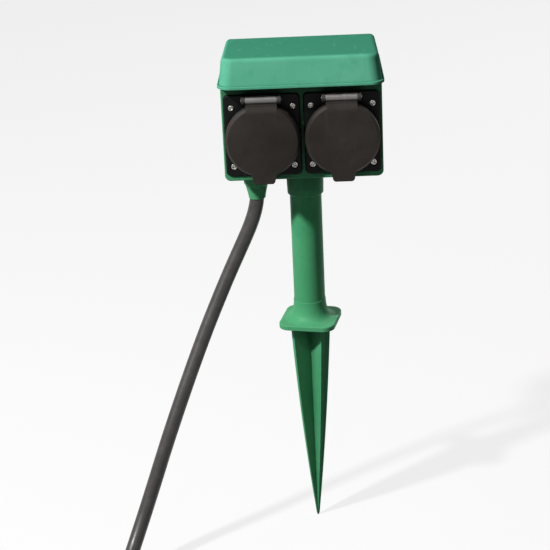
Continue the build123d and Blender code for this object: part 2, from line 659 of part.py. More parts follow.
def hinge_ear(left, right):
    """One ear: round about the hinge pin, its foot on the flange's front."""
    foot_z = HINGE_RISE - EAR_FOOT_DROP
    root_y = FLANGE_FRONT_Y + FLANGE_THICKNESS / 2
    foot = make_face(
        Polyline(
            (HINGE_Y - EAR_R, HINGE_RISE),
            (HINGE_Y, HINGE_RISE + EAR_R),
            (root_y, FLANGE_TOP_RISE - FLANGE_EDGE_R),
            (root_y, foot_z),
            (FLANGE_FRONT_Y, foot_z),
            close=True,
        )
    )
    return prism_x(foot + Pos(HINGE_Y, HINGE_RISE) * Circle(EAR_R), left, right)


def flange_screw_places():
    """The four screw places (x, z) about the socket's axis."""
    reach = FLANGE_SCREW_HALF_PITCH
    return [(x, z) for x in (-reach, reach) for z in (-reach, reach)]


def make_flange_seal():
    """Rubber sheet between the flange and the pocket's floor."""
    sheet = flange_outline(POCKET_PLAY)
    sheet -= Circle(WELL_OUTER_D / 2 + SOFT_GAP)
    for x, z in flange_screw_places():
        sheet -= Pos(x, z) * Circle(FLANGE_SCREW_D / 2 + SOFT_GAP)
    return prism_y(sheet, FLANGE_SEAL_Y, FLANGE_BACK_Y)


def make_flange_screws():
    """Four bright screws that hold the flange, their heads sunk flush."""
    length = FLANGE_SCREW_LENGTH - FLANGE_SCREW_HEAD
    one = facing_front(screw(FLANGE_SCREW_HEAD_D, FLANGE_SCREW_HEAD, FLANGE_SCREW_D, length))
    seat = FLANGE_FRONT_Y + FLANGE_SCREW_HEAD
    return group(Pos(x, seat, z) * one for x, z in flange_screw_places())


def make_contact_carrier():
    """Insulating block behind the well, with seats for the sleeves and a channel for the earth clip."""
    carrier = rod_y(0, 0, CARRIER_BACK_Y, WELL_BACK_Y, CARRIER_D)
    rim = carrier.faces().sort_by(Axis.Y)[-1].edges()
    carrier = fillet(rim, FLANGE_EDGE_R)
    for side in (-1, 1):
        bore = SLEEVE_CONTACT_D + 2 * PUSH_PLAY
        carrier -= rod_y(side * PIN_PITCH / 2, 0, CARRIER_BACK_Y + OVERRUN, WELL_BACK_Y - OVERRUN, bore)
    half = CLIP_WIDTH / 2 + PUSH_PLAY
    depth = WELL_BACK_Y + CLIP_THICKNESS + PUSH_PLAY
    carrier -= block((-half, half), (WELL_BACK_Y - OVERRUN, depth), (-CARRIER_D, CARRIER_D))
    tail_half = CLIP_THICKNESS / 2 + PUSH_PLAY
    tail_z = (-CLIP_TAIL_DROP - tail_half, -CLIP_TAIL_DROP + tail_half)
    carrier -= block((-half, half), (WELL_BACK_Y, CARRIER_BACK_Y + OVERRUN), tail_z)
    thread = CENTRE_SCREW_D + 2 * SCREW_PLAY
    return carrier - rod_y(0, 0, CARRIER_BACK_Y + OVERRUN, WELL_BACK_Y - OVERRUN, thread)


def make_contact_sleeves():
    """Two brass sleeves that take the plug's pins, with slit mouths and closed terminal ends."""
    sleeves = []
    front = WELL_BACK_Y + PUSH_PLAY
    for side in (-1, 1):
        x = side * PIN_PITCH / 2
        sleeve = rod_y(x, 0, TERMINAL_Y, front, SLEEVE_CONTACT_D)
        sleeve -= rod_y(x, 0, CARRIER_BACK_Y, front - OVERRUN, SLEEVE_CONTACT_BORE)
        slit = CLIP_THICKNESS / 2
        slit_x = (x - SLEEVE_CONTACT_D, x + SLEEVE_CONTACT_D)
        sleeve -= block(slit_x, (front - OVERRUN, CARRIER_BACK_Y - SLEEVE_CONTACT_D), (-slit, slit))
        sleeves.append(sleeve)
    return group(sleeves)


def make_earth_clip():
    """Sprung earth contact: a strap behind the well with a bowed finger on each side of the plug."""
    t = CLIP_THICKNESS
    base = (WELL_BACK_Y, WELL_BACK_Y + t)
    strap = block((-CLIP_WIDTH / 2, CLIP_WIDTH / 2), base, (-CLIP_OUTER_REACH, CLIP_OUTER_REACH))
    tip_y = COLLAR_FRONT_Y + CLIP_TIP_BACKSET
    nose_y = (tip_y + WELL_FLOOR_Y) / 2
    for side in (-1, 1):
        outer = side * CLIP_OUTER_REACH
        inner = side * (CLIP_OUTER_REACH - t)
        nose = side * CLIP_NOSE_REACH
        nose_back = side * (CLIP_NOSE_REACH + t)
        foot_y = WELL_FLOOR_Y - t
        bow_out = ThreePointArc((foot_y, outer), (nose_y, nose_back), (tip_y, outer))
        bow_in = ThreePointArc((tip_y, inner), (nose_y, nose), (foot_y, inner))
        finger = make_face(
            [
                Line((base[1], outer), (foot_y, outer)),
                bow_out,
                Line((tip_y, outer), (tip_y, inner)),
                bow_in,
                Line((foot_y, inner), (base[1], inner)),
                Line((base[1], inner), (base[1], outer)),
            ]
        )
        strap += prism_x(finger, -CLIP_WIDTH / 2, CLIP_WIDTH / 2)
    tail_z = (-CLIP_TAIL_DROP - t / 2, -CLIP_TAIL_DROP + t / 2)
    strap += block((-CLIP_WIDTH / 2, CLIP_WIDTH / 2), (WELL_BACK_Y, TERMINAL_Y), tail_z)
    return strap - rod_y(0, 0, base[1] + OVERRUN, base[0] - OVERRUN, CENTRE_SCREW_D + 2 * PUSH_PLAY)


def make_centre_screw():
    """The screw in the middle of the well's floor that holds the contact carrier."""
    length = WELL_FLOOR + CARRIER_DEPTH - OVERRUN
    one = screw(CENTRE_SCREW_HEAD_D, CENTRE_SCREW_HEAD, CENTRE_SCREW_D, length)
    return Pos(0, WELL_FLOOR_Y, 0) * facing_front(one)


def make_lid():
    """Domed lid with a bevelled rim and skirt, a neck to its hinge knuckle and a finger tab."""
    skirt_r = LID_SKIRT_INNER_D / 2
    rim_r = LID_D / 2
    bevel_r = rim_r - LID_BEVEL
    dome = LID_RIM_Y - LID_DOME_Y
    dome_r = (bevel_r**2 + dome**2) / (2 * dome)
    half_way = LID_DOME_Y + dome_r - math.sqrt(dome_r**2 - (bevel_r / 2) ** 2)
    outline = make_face(
        [
            Polyline(
                (0, LID_DOME_Y),
                (0, LID_INNER_Y),
                (skirt_r, LID_INNER_Y),
                (skirt_r, LID_SKIRT_BACK_Y),
                (rim_r, LID_SKIRT_BACK_Y),
                (rim_r, LID_BEVEL_Y),
                (bevel_r, LID_RIM_Y),
            ),
            ThreePointArc((bevel_r, LID_RIM_Y), (bevel_r / 2, half_way), (0, LID_DOME_Y)),
        ]
    )
    disc = revolve(outline, Axis.Y)
    knuckle_r = KNUCKLE_D / 2
    neck_low = rim_r - 2 * LID_BEVEL
    neck = make_face(
        Polyline(
            (LID_INNER_Y, neck_low),
            (LID_RIM_Y, neck_low),
            (HINGE_Y - knuckle_r, HINGE_RISE - knuckle_r / 2),
            (HINGE_Y, HINGE_RISE),
            (HINGE_Y + knuckle_r / 4, HINGE_RISE - knuckle_r / 2),
            (LID_INNER_Y + knuckle_r / 2, rim_r),
            (LID_INNER_Y, rim_r - LID_BEVEL),
            close=True,
        )
    )
    lid = disc + prism_x(neck, -LID_NECK_W / 2, LID_NECK_W / 2)
    lid += rod_x(HINGE_Y, HINGE_RISE, -KNUCKLE_W / 2, KNUCKLE_W / 2, KNUCKLE_D)
    tab_outline = make_face(
        Polyline(
            (-LID_TAB_ROOT_W / 2, -rim_r + LID_TAB_INSET),
            (LID_TAB_ROOT_W / 2, -rim_r + LID_TAB_INSET),
            (LID_TAB_W / 2, -rim_r - LID_TAB_DROP),
            (-LID_TAB_W / 2, -rim_r - LID_TAB_DROP),
            close=True,
        )
    )
    tab_outline = fillet(tab_outline.vertices().group_by(Axis.Y)[0], LID_TAB_EDGE_R)
    tab = prism_y(tab_outline, LID_TAB_BACK_Y, LID_RIM_Y)
    tab -= rod_y(0, 0, LID_TAB_BACK_Y + OVERRUN, LID_INNER_Y, 2 * skirt_r)
    lid += tab
    bore = HINGE_PIN_D + 2 * PIN_PLAY
    lid -= rod_x(HINGE_Y, HINGE_RISE, -KNUCKLE_W, KNUCKLE_W, bore)
    spring_end = KNUCKLE_W / 2 - SPRING_BORE_DEPTH
    return lid - rod_x(HINGE_Y, HINGE_RISE, spring_end, KNUCKLE_W / 2 + OVERRUN, SPRING_BORE_D)


def make_lid_seal():
    """Rubber ring inside the lid that closes on the collar."""
    back = LID_INNER_Y + LID_SEAL_THICKNESS
    ring = rod_y(0, 0, back, LID_INNER_Y, LID_SEAL_D)
    return ring - rod_y(0, 0, back + OVERRUN, LID_INNER_Y - OVERRUN, LID_SEAL_INNER_D)


def make_hinge_pin():
    """Steel pin through both ears and the knuckle."""
    reach = KNUCKLE_W / 2 + KNUCKLE_SIDE_PLAY + EAR_THICKNESS
    return rod_x(HINGE_Y, HINGE_RISE, -reach, reach, HINGE_PIN_D)


# Wound forms: tubes swept along arcs


LEAST_TURN = 1e-9  # below this, two ways of travel count as parallel


def biarc(start, start_way, end, end_way):
    """Two arcs that join two points with given ways of travel."""
    step = end - start
    both = start_way + end_way
    turn = 2 * (1 - start_way.dot(end_way))
    across = step.dot(both)
    if math.isclose(turn, 0, abs_tol=LEAST_TURN):
        reach = step.dot(step) / (2 * across)
    else:
        reach = (math.sqrt(across * across + turn * step.dot(step)) - across) / turn
    middle = (start + end + (start_way - end_way) * reach) * 0.5
    way = ((end - end_way * reach) - (start + start_way * reach)).normalized()
    return [
        Edge.make_tangent_arc(start, start_way, middle),
        Edge.make_tangent_arc(middle, way, end),
    ]


def arcs_through(stations):
    """Arcs through a list of (point, way) pairs."""
    edges = []
    for (start, start_way), (end, end_way) in zip(stations, stations[1:]):
        edges += biarc(start, start_way, end, end_way)
    return edges


def tube(edges, diameter):
    """A round tube along joined edges."""
    path = Wire(edges)
    mouth = Plane(path @ 0, z_dir=path % 0)
    return sweep(mouth * Circle(diameter / 2), path=path)


def least_gap(edges, diameter, samples=12):
    """The least gap between stretches of one tube that lie apart along it."""
    points = [edge @ (k / samples) for edge in edges for k in range(samples)]
    runs = [(b - a).length for a, b in zip(points, points[1:])]
    places = [0]
    for run in runs:
        places.append(places[-1] + run)
    least = math.inf
    for i, a in enumerate(points):
        for j in range(i + 1, len(points)):
            if places[j] - places[i] > 3 * diameter:
                least = min(least, (points[j] - a).length)
    return least - diameter


def make_lid_spring():
    """Close coil round the hinge pin; its fixed end stands square on the right ear."""
    radius = SPRING_COIL_D / 2
    ear_x = KNUCKLE_W / 2 + KNUCKLE_SIDE_PLAY
    first_x = ear_x - 2 * SPRING_WIRE_D - SPRING_WIRE_D / 4

    def station(quarter):
        angle = math.radians(90 * quarter)
        x = first_x - SPRING_STEP * quarter / 4
        point = Vector(x, HINGE_Y + radius * math.cos(angle), HINGE_RISE + radius * math.sin(angle))
        rise = -SPRING_STEP / (2 * math.pi)
        way = Vector(rise, -radius * math.sin(angle), radius * math.cos(angle)).normalized()
        return point, way

    stations = [station(quarter) for quarter in range(4 * SPRING_TURNS + 1)]
    lag = -2 * SPRING_WIRE_D / radius
    foot = Vector(ear_x, HINGE_Y + radius * math.cos(lag), HINGE_RISE + radius * math.sin(lag))
    inward = Vector(-1, 0, 0)
    knee = foot + inward * SPRING_WIRE_D
    edges = [Edge.make_line(foot, knee)] + arcs_through([(knee, inward)] + stations)
    print("lid spring least gap mm", round(least_gap(edges, SPRING_WIRE_D), 3))
    return tube(edges, SPRING_WIRE_D)


# Gland, leads, cord and plug


def make_cable_gland():
    """Tapered strain relief with a flange under the housing and a thread through its floor."""
    top = BODY_BOTTOM_Z - GLAND_SEAL
    body = turned_z(
        (
            (0, GLAND_TIP_Z),
            (GLAND_TIP_D / 2 - BODY_EDGE_R, GLAND_TIP_Z),
            (GLAND_TIP_D / 2, GLAND_TIP_Z + BODY_EDGE_R),
            (GLAND_NECK_D / 2, GLAND_FLANGE_Z),
            (GLAND_FLANGE_D / 2 - BODY_EDGE_R, GLAND_FLANGE_Z),
            (GLAND_FLANGE_D / 2, GLAND_FLANGE_Z + BODY_EDGE_R),
            (GLAND_FLANGE_D / 2, top),
            (GLAND_THREAD_D / 2, top),
            (GLAND_THREAD_D / 2, GLAND_THREAD_TOP_Z),
            (0, GLAND_THREAD_TOP_Z),
        )
    )
    body -= rod_z(0, 0, GLAND_TIP_Z - OVERRUN, GLAND_THREAD_TOP_Z + OVERRUN, CORD_D + 2 * PUSH_PLAY)
    return Pos(GLAND_X, GLAND_Y, 0) * body


def make_gland_seal():
    """Rubber washer between the gland's flange and the housing."""
    ring = Circle(GLAND_FLANGE_D / 2) - Circle(GLAND_THREAD_D / 2 + PUSH_PLAY)
    return prism_z(Pos(GLAND_X, GLAND_Y) * ring, BODY_BOTTOM_Z - GLAND_SEAL, BODY_BOTTOM_Z)


def make_gland_nut():
    """Hexagon nut on the gland's thread, inside the housing."""
    floor_z = BODY_BOTTOM_Z + BODY_WALL
    hexagon = RegularPolygon(NUT_FLATS / 2, 6, major_radius=False, rotation=0)
    ring = hexagon - Circle(GLAND_THREAD_D / 2 + PUSH_PLAY)
    return prism_z(Pos(GLAND_X, GLAND_Y) * ring, floor_z, floor_z + NUT_HEIGHT)


def make_cord_stub():
    """The cord's sheath inside the gland and the housing."""
    return rod_z(GLAND_X, GLAND_Y, GLAND_TIP_Z, STUB_TOP_Z, CORD_D)


def wire(points):
    """One insulated lead along rounded corners."""
    runs = [math.dist(a, b) for a, b in zip(points, points[1:])]
    radii = []
    for k in range(1, len(points) - 1):
        before = Vector(*points[k]) - Vector(*points[k - 1])
        after = Vector(*points[k + 1]) - Vector(*points[k])
        half = math.radians(before.get_angle(after)) / 2
        radii.append(min(WIRE_BEND_R, 0.45 * min(runs[k - 1], runs[k]) / math.tan(half)))
    path = FilletPolyline(*points, radius=radii)
    mouth = Plane(path @ 0, z_dir=path % 0)
    return sweep(mouth * Circle(WIRE_D / 2), path=path)


def make_supply_leads():
    """Three leads from the cord's sheath to the left socket's terminals."""
    left = SOCKET_SIDES["left"]
    line_x = left - PIN_PITCH / 2
    neutral_x = left + PIN_PITCH / 2
    low = STUB_TOP_Z
    rise = STUB_TOP_Z + 2 * WIRE_D
    depth = GLAND_Y + CORD_D / 4
    level = SOCKET_Z - WIRE_D / 2 - PUSH_PLAY
    over = SOCKET_Z + WIRE_D / 2 + PUSH_PLAY
    earth_z = SOCKET_Z - CLIP_TAIL_DROP
    earth_x = left - WIRE_D / 2 - PUSH_PLAY
    line = wire(
        (
            (line_x, GLAND_Y, low),
            (line_x, GLAND_Y, rise),
            (line_x, depth, level),
            (line_x, TERMINAL_Y, level),
        )
    )
    neutral = wire(
        (
            (GLAND_X + WIRE_SPREAD, GLAND_Y, low),
            (GLAND_X + WIRE_SPREAD, GLAND_Y, rise),
            (GLAND_X + 2 * WIRE_SPREAD, depth + WIRE_D, level - WIRE_SPREAD),
            (neutral_x, depth + WIRE_D, over),
            (neutral_x, TERMINAL_Y, over),
        )
    )
    earth = wire(
        (
            (GLAND_X, GLAND_Y + WIRE_SPREAD + WIRE_D / 2, low),
            (GLAND_X, GLAND_Y + WIRE_SPREAD + WIRE_D / 2, low + WIRE_D),
            (GLAND_X, GLAND_Y + CORD_D, rise),
            (earth_x, GLAND_Y + CORD_D, earth_z),
            (earth_x, TERMINAL_Y, earth_z),
        )
    )
    return group((line, neutral, earth))


def make_jumper_leads():
    """Three leads from the left socket's terminals to the right socket's."""
    left, right = SOCKET_SIDES["left"], SOCKET_SIDES["right"]
    over = SOCKET_Z + WIRE_D / 2 + PUSH_PLAY
    level = SOCKET_Z - WIRE_D / 2 - PUSH_PLAY
    earth_z = SOCKET_Z - CLIP_TAIL_DROP
    routes = (
        (-PIN_PITCH / 2, over, over + 3 * WIRE_D, 5 * WIRE_D),
        (PIN_PITCH / 2, level, level - 3 * WIRE_D, 3 * WIRE_D),
        (WIRE_D / 2 + PUSH_PLAY, earth_z, earth_z - 3 * WIRE_D, 4 * WIRE_D),
    )
    leads = []
    for offset, z, run_z, depth in routes:
        y = TERMINAL_Y + depth
        leads.append(
            wire(
                (
                    (left + offset, TERMINAL_Y, z),
                    (left + offset, y, z),
                    (left + offset + 2 * WIRE_D, y, run_z),
                    (right + offset - 2 * WIRE_D, y, run_z),
                    (right + offset, y, z),
                    (right + offset, TERMINAL_Y, z),
                )
            )
        )
    return group(leads)


def make_supply_cord():
    """The cord's free stretch: straight runs joined by arcs as large as the runs allow."""
    points = [Vector(*corner) for corner in CORD_ROUTE]
    runs = [(b - a).length for a, b in zip(points, points[1:])]
    radii = []
    for k in range(1, len(points) - 1):
        half = math.radians((points[k] - points[k - 1]).get_angle(points[k + 1] - points[k])) / 2
        radii.append(0.45 * min(runs[k - 1], runs[k]) / math.tan(half))
    path = FilletPolyline(*points, radius=radii)
    mouth = Plane(path @ 0, z_dir=path % 0)
    cord = sweep(mouth * Circle(CORD_D / 2), path=path)
    length = path.length
    section = math.pi * CORD_D**2 / 4
    print("cord runs mm", [round(run, 1) for run in runs])
    print("cord radii mm", [round(radius, 1) for radius in radii])
    print("cord length mm", round(length, 1), "volume share", round(cord.volume / (section * length), 5))
    return cord, length


def coil_stations():
    """Stations of the coil: a spiral in on the floor, a climb, and a spiral out on top of it."""
    end = Vector(*CORD_ROUTE[-1])
    before = Vector(*CORD_ROUTE[-2])
    heading = (end - before).normalized()
    aside = Vector(-heading.Y, heading.X, 0)
    outer = COIL_MEAN_R + COIL_STEP * COIL_TURNS / 4
    start = end + heading * CORD_D
    centre = start + aside * outer
    start_angle = math.atan2(-aside.Y, -aside.X)
    half = COIL_TURNS / 2

    def place(turns):
        radius = outer - COIL_STEP * (half - abs(half - turns))
        angle = start_angle + 2 * math.pi * turns
        climb = min(max((turns - half) / 0.5 + 0.5, 0), 1)
        z = start.Z + COIL_STEP * climb * climb * (3 - 2 * climb)
        return Vector(centre.X + radius * math.cos(angle), centre.Y + radius * math.sin(angle), z)

    stations = [(end, heading), (start, heading)]
    quarters = round(4 * COIL_TURNS)
    nudge = 1e-4
    for quarter in range(1, quarters + 1):
        turns = quarter / 4
        way = (place(turns + nudge) - place(turns - nudge)).normalized()
        if quarter == quarters:
            angle = start_angle + 2 * math.pi * turns
            way = Vector(-math.sin(angle), math.cos(angle), 0)
        stations.append((place(turns), way))
    last, way = stations[-1]
    rise = math.radians(PLUG_RISE)
    plug_way = (way * math.cos(rise) + Vector(0, 0, math.sin(rise))).normalized()
    lifted = last + way * COIL_LEAD + Vector(0, 0, COIL_LEAD * math.tan(rise / 2))
    tail = lifted + plug_way * CORD_D
    return stations, (lifted, plug_way), (tail, plug_way)


def make_cord_coil():
    """The cord that is put away, in one tube from the free stretch to the plug."""
    stations, lifted, tail = coil_stations()
    edges = [Edge.make_line(stations[0][0], stations[1][0])]
    edges += arcs_through(stations[1:] + [lifted])
    edges.append(Edge.make_line(lifted[0], tail[0]))
    length = sum(edge.length for edge in edges)
    coil = tube(edges, CORD_D)
    section = math.pi * CORD_D**2 / 4
    print("coil length mm", round(length, 1), "volume share", round(coil.volume / (section * length), 5))
    print("coil least gap mm", round(least_gap(edges, CORD_D), 3))
    return coil, tail, length


def plug_place(tail):
    """The plug's own frame: its axis is local Z, its cord end at the origin, its pins side by side."""
    point, way = tail
    side = Vector(0, 0, 1).cross(way).normalized()
    return Plane(point, x_dir=side, z_dir=way)


def make_plug(tail):
    """Moulded plug: tapered tail, waisted grip and round face with two side notches."""
    tail_end = PLUG_TAIL_LENGTH
    grip_end = tail_end + PLUG_GRIP_LENGTH
    face_end = grip_end + PLUG_FACE_LENGTH
    face_r = PLUG_FACE_D / 2
    body = turned_z(
        (
            (0, 0),
            (PLUG_TAIL_END_D / 2, 0),
            (PLUG_TAIL_D / 2, tail_end),
            (PLUG_GRIP_D / 2, tail_end + PLUG_GRIP_LENGTH / 3),
            (PLUG_GRIP_D / 2, grip_end - PLUG_EDGE_R),
            (face_r, grip_end + PLUG_EDGE_R),
            (face_r, face_end - PLUG_EDGE_R),
            (face_r - PLUG_EDGE_R, face_end),
            (0, face_end),
        )
    )
    pins = []
    strips = []
    for side in (-1, 1):
        pin_base = face_end - PLUG_PIN_SEAT
        pin_tip = face_end + PLUG_PIN_LENGTH
        x = side * PIN_PITCH / 2
        body -= rod_z(x, 0, pin_base, face_end + OVERRUN, PLUG_PIN_ROOT_D)
        pin = turned_z(
            (
                (0, pin_base),
                (PLUG_PIN_ROOT_D / 2, pin_base),
                (PLUG_PIN_ROOT_D / 2, face_end),
                (PLUG_PIN_D / 2, face_end),
                (PLUG_PIN_D / 2, pin_tip - PLUG_PIN_D / 4),
                (PLUG_PIN_D / 4, pin_tip),
                (0, pin_tip),
            )
        )
        pins.append(Pos(x, 0, 0) * pin)
        notch_y = sorted((side * (face_r - PLUG_NOTCH_DEPTH), side * (face_r + OVERRUN)))
        half = PLUG_NOTCH_W / 2
        body -= block((-half, half), notch_y, (grip_end + PLUG_EDGE_R, face_end + OVERRUN))
        strip_y = sorted(
            (side * (face_r - PLUG_NOTCH_DEPTH), side * (face_r - PLUG_NOTCH_DEPTH + EARTH_STRIP))
        )
        strip_x = half - PUSH_PLAY
        strips.append(block((-strip_x, strip_x), strip_y, (grip_end + PLUG_EDGE_R, face_end)))
    place = plug_place(tail)
    return place * body, group(place * pin for pin in pins), group(place * strip for strip in strips)


def main():
    os.makedirs("parts", exist_ok=True)
    save("ground_spike", make_ground_spike())
    save("post_tube", make_post_tube())
    save("housing_body", make_housing_body())
    save("rear_cover", make_rear_cover())
    save("rear_cover_seal", make_rear_seal())
    save("rear_cover_screws", make_cover_screws())
    save("hood", make_hood())
    save("hood_screws", make_hood_screws())
    socket_pieces = {
        "socket_insert": make_socket_insert(),
        "flange_seal": make_flange_seal(),
        "flange_screws": make_flange_screws(),
        "contact_carrier": make_contact_carrier(),
        "contact_sleeves": make_contact_sleeves(),
        "earth_clip": make_earth_clip(),
        "centre_screw": make_centre_screw(),
        "lid": make_lid(),
        "lid_seal": make_lid_seal(),
        "hinge_pin": make_hinge_pin(),
        "lid_spring": make_lid_spring(),
    }
    for side, x in SOCKET_SIDES.items():
        for name, piece in socket_pieces.items():
            save(name + "_" + side, Pos(x, 0, SOCKET_Z) * piece)
    save("cable_gland", make_cable_gland())
    save("gland_seal", make_gland_seal())
    save("gland_nut", make_gland_nut())
    save("cord_inner_end", make_cord_stub())
    save("supply_leads", make_supply_leads())
    save("jumper_leads", make_jumper_leads())
    cord, cord_length = make_supply_cord()
    coil, tail, coil_length = make_cord_coil()
    print("free cord length m", round((cord_length + coil_length) / 1000, 3))
    plug_body, plug_pins, plug_earth = make_plug(tail)
    place = plug_place(tail)
    pin_root = Vector(0, 0, PLUG_TAIL_LENGTH + PLUG_GRIP_LENGTH + PLUG_FACE_LENGTH)
    print("plug face centre", place.from_local_coords(pin_root), "way", place.z_dir, "side", place.x_dir)
    save("supply_cord", cord)
    save("cord_coil", coil)
    save("plug_body", plug_body)
    save("plug_pins", plug_pins)
    save("plug_earth_contacts", plug_earth)


main()
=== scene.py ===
import bpy
import bmesh
import json
import math
from mathutils import Matrix, Vector

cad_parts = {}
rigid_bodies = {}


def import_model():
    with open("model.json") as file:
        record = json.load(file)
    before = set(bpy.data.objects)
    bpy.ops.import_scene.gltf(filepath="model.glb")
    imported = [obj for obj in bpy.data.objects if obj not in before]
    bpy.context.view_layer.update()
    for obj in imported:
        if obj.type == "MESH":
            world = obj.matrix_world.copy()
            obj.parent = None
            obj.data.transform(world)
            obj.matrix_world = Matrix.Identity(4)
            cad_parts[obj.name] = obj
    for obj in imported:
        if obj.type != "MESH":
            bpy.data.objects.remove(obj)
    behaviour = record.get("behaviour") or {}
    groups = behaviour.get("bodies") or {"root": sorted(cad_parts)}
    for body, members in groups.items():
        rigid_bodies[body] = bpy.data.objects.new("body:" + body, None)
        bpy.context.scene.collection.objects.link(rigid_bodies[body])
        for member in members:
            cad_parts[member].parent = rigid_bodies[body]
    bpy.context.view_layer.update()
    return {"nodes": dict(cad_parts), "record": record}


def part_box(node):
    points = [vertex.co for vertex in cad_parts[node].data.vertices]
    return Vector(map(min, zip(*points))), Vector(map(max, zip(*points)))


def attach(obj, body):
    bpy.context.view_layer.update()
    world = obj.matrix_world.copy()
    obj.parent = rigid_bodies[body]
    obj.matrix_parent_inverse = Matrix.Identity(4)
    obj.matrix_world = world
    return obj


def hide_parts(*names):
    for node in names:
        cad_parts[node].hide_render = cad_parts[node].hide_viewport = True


for leftover in list(bpy.data.objects):
    bpy.data.objects.remove(leftover)

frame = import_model()
nodes = frame["nodes"]
scene = bpy.context.scene
scene.view_settings.view_transform = "Standard"

# Places and outlines are in millimetres in the part's frame; MM takes them to metres
MM = 0.001
SOCKET_X = {"left": -26.0, "right": 26.0}
HINGE_Y = -38.2
HINGE_Z = 172.5

# Camera, fitted to the photograph

CAMERA_AT = (0.01296, -1.0807, 0.46928)
CAMERA_TURN = (68.106, 2.5481, 0.911)
CAMERA_LENS = 109.515
CAMERA_SENSOR = 36.0
CAMERA_REACH = 50.0

camera = bpy.data.objects.new("camera", bpy.data.cameras.new("camera"))
scene.collection.objects.link(camera)
camera.location = CAMERA_AT
camera.rotation_euler = [math.radians(angle) for angle in CAMERA_TURN]
camera.data.lens = CAMERA_LENS
camera.data.sensor_width = CAMERA_SENSOR
camera.data.clip_end = CAMERA_REACH
scene.camera = camera

# Supply cord: the free stretch, then the put-away coil, in one smooth line

CORD_D = 10.0 * MM
CORD_ROUTE = (
    (-33.2, 3.0, 97.0),
    (-33.3, 3.0, 91.8),
    (-34.4, 2.8, 85.6),
    (-36.4, 2.4, 78.6),
    (-39.6, 1.5, 70.6),
    (-45.6, -0.3, 58.2),
    (-57.0, -6.0, 36.0),
    (-76.4, -20.0, -5.0),
    (-99.4, -43.0, -60.0),
    (-115.4, -56.2, -103.5),
    (-124.4, -68.0, -126.0),
    (-131.8, -85.0, -142.5),
    (-135.4, -108.5, -151.0),
    (-135.8, -137.0, -151.0),
)
COIL_TURNS = 3.25
COIL_MEAN_R = 54.0
COIL_STEP = 10.8
COIL_CLIMB_TURNS = 0.5
COIL_LEAD = 24.0
CORD_STRAIGHT = 10.0
PLUG_RISE = 2.0
POINTS_A_TURN = 16
CORD_SIDES = 7
CORD_STEPS = 6
CORD_ORDER = 3


def on_circle(centre, radius, angle, z):
    return Vector(
        (centre.x + radius * math.cos(angle), centre.y + radius * math.sin(angle), z)
    )


def coil_points():
    """Control points of the coil: in on the floor, up, and out on top, then on to the plug."""
    end = Vector(CORD_ROUTE[-1])
    heading = (end - Vector(CORD_ROUTE[-2])).normalized()
    aside = Vector((-heading.y, heading.x, 0))
    outer = COIL_MEAN_R + COIL_STEP * COIL_TURNS / 4
    start = end + heading * CORD_STRAIGHT
    centre = start + aside * outer
    start_angle = math.atan2(-aside.y, -aside.x)
    half = COIL_TURNS / 2
    bulge = 1 / math.cos(math.pi / POINTS_A_TURN)
    points = []
    for k in range(round(COIL_TURNS * POINTS_A_TURN)):
        turns = (k + 0.5) / POINTS_A_TURN
        radius = (outer - COIL_STEP * (half - abs(half - turns))) * bulge
        climb = min(max((turns - half) / COIL_CLIMB_TURNS + 0.5, 0), 1)
        z = start.z + COIL_STEP * climb * climb * (3 - 2 * climb)
        points.append(on_circle(centre, radius, start_angle + 2 * math.pi * turns, z))
    angle = start_angle + 2 * math.pi * COIL_TURNS
    way = Vector((-math.sin(angle), math.cos(angle), 0))
    last = on_circle(centre, outer, angle, start.z + COIL_STEP)
    rise = math.radians(PLUG_RISE)
    plug_way = way * math.cos(rise) + Vector((0, 0, math.sin(rise)))
    lifted = last + way * COIL_LEAD + Vector((0, 0, COIL_LEAD * math.tan(rise / 2)))
    return points + [last + way * COIL_LEAD / 2, lifted, lifted + plug_way * CORD_STRAIGHT]


cord_points = [Vector(place) for place in CORD_ROUTE] + coil_points()
curve = bpy.data.curves.new("supply_cord_line", "CURVE")
curve.dimensions = "3D"
curve.bevel_depth = 1.0
curve.bevel_resolution = CORD_SIDES
curve.resolution_u = CORD_STEPS
curve.use_fill_caps = True
spline = curve.splines.new("NURBS")
spline.points.add(len(cord_points) - 1)
for point, place in zip(spline.points, cord_points):
    point.co = (*(place * MM), 1.0)
    point.radius = CORD_D / 2
spline.order_u = CORD_ORDER
spline.use_endpoint_u = True
cord = bpy.data.objects.new("rubber_cord", curve)
scene.collection.objects.link(cord)
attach(cord, "post")
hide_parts("supply_cord", "cord_coil")

# Materials

BEVEL_SAMPLES = 4
HOLLOW_SHADE_SAMPLES = 6
FLAT_DOT, SHARP_DOT = 0.995, 0.85
HINGE_FADE = (1.1, 0.95)


def srgb(r, g, b):
    """An sRGB colour from 0 to 255 as a linear colour."""
    out = []
    for v in (r, g, b):
        v /= 255
        out.append(v / 12.92 if v <= 0.04045 else ((v + 0.055) / 1.055) ** 2.4)
    return (*out, 1.0)


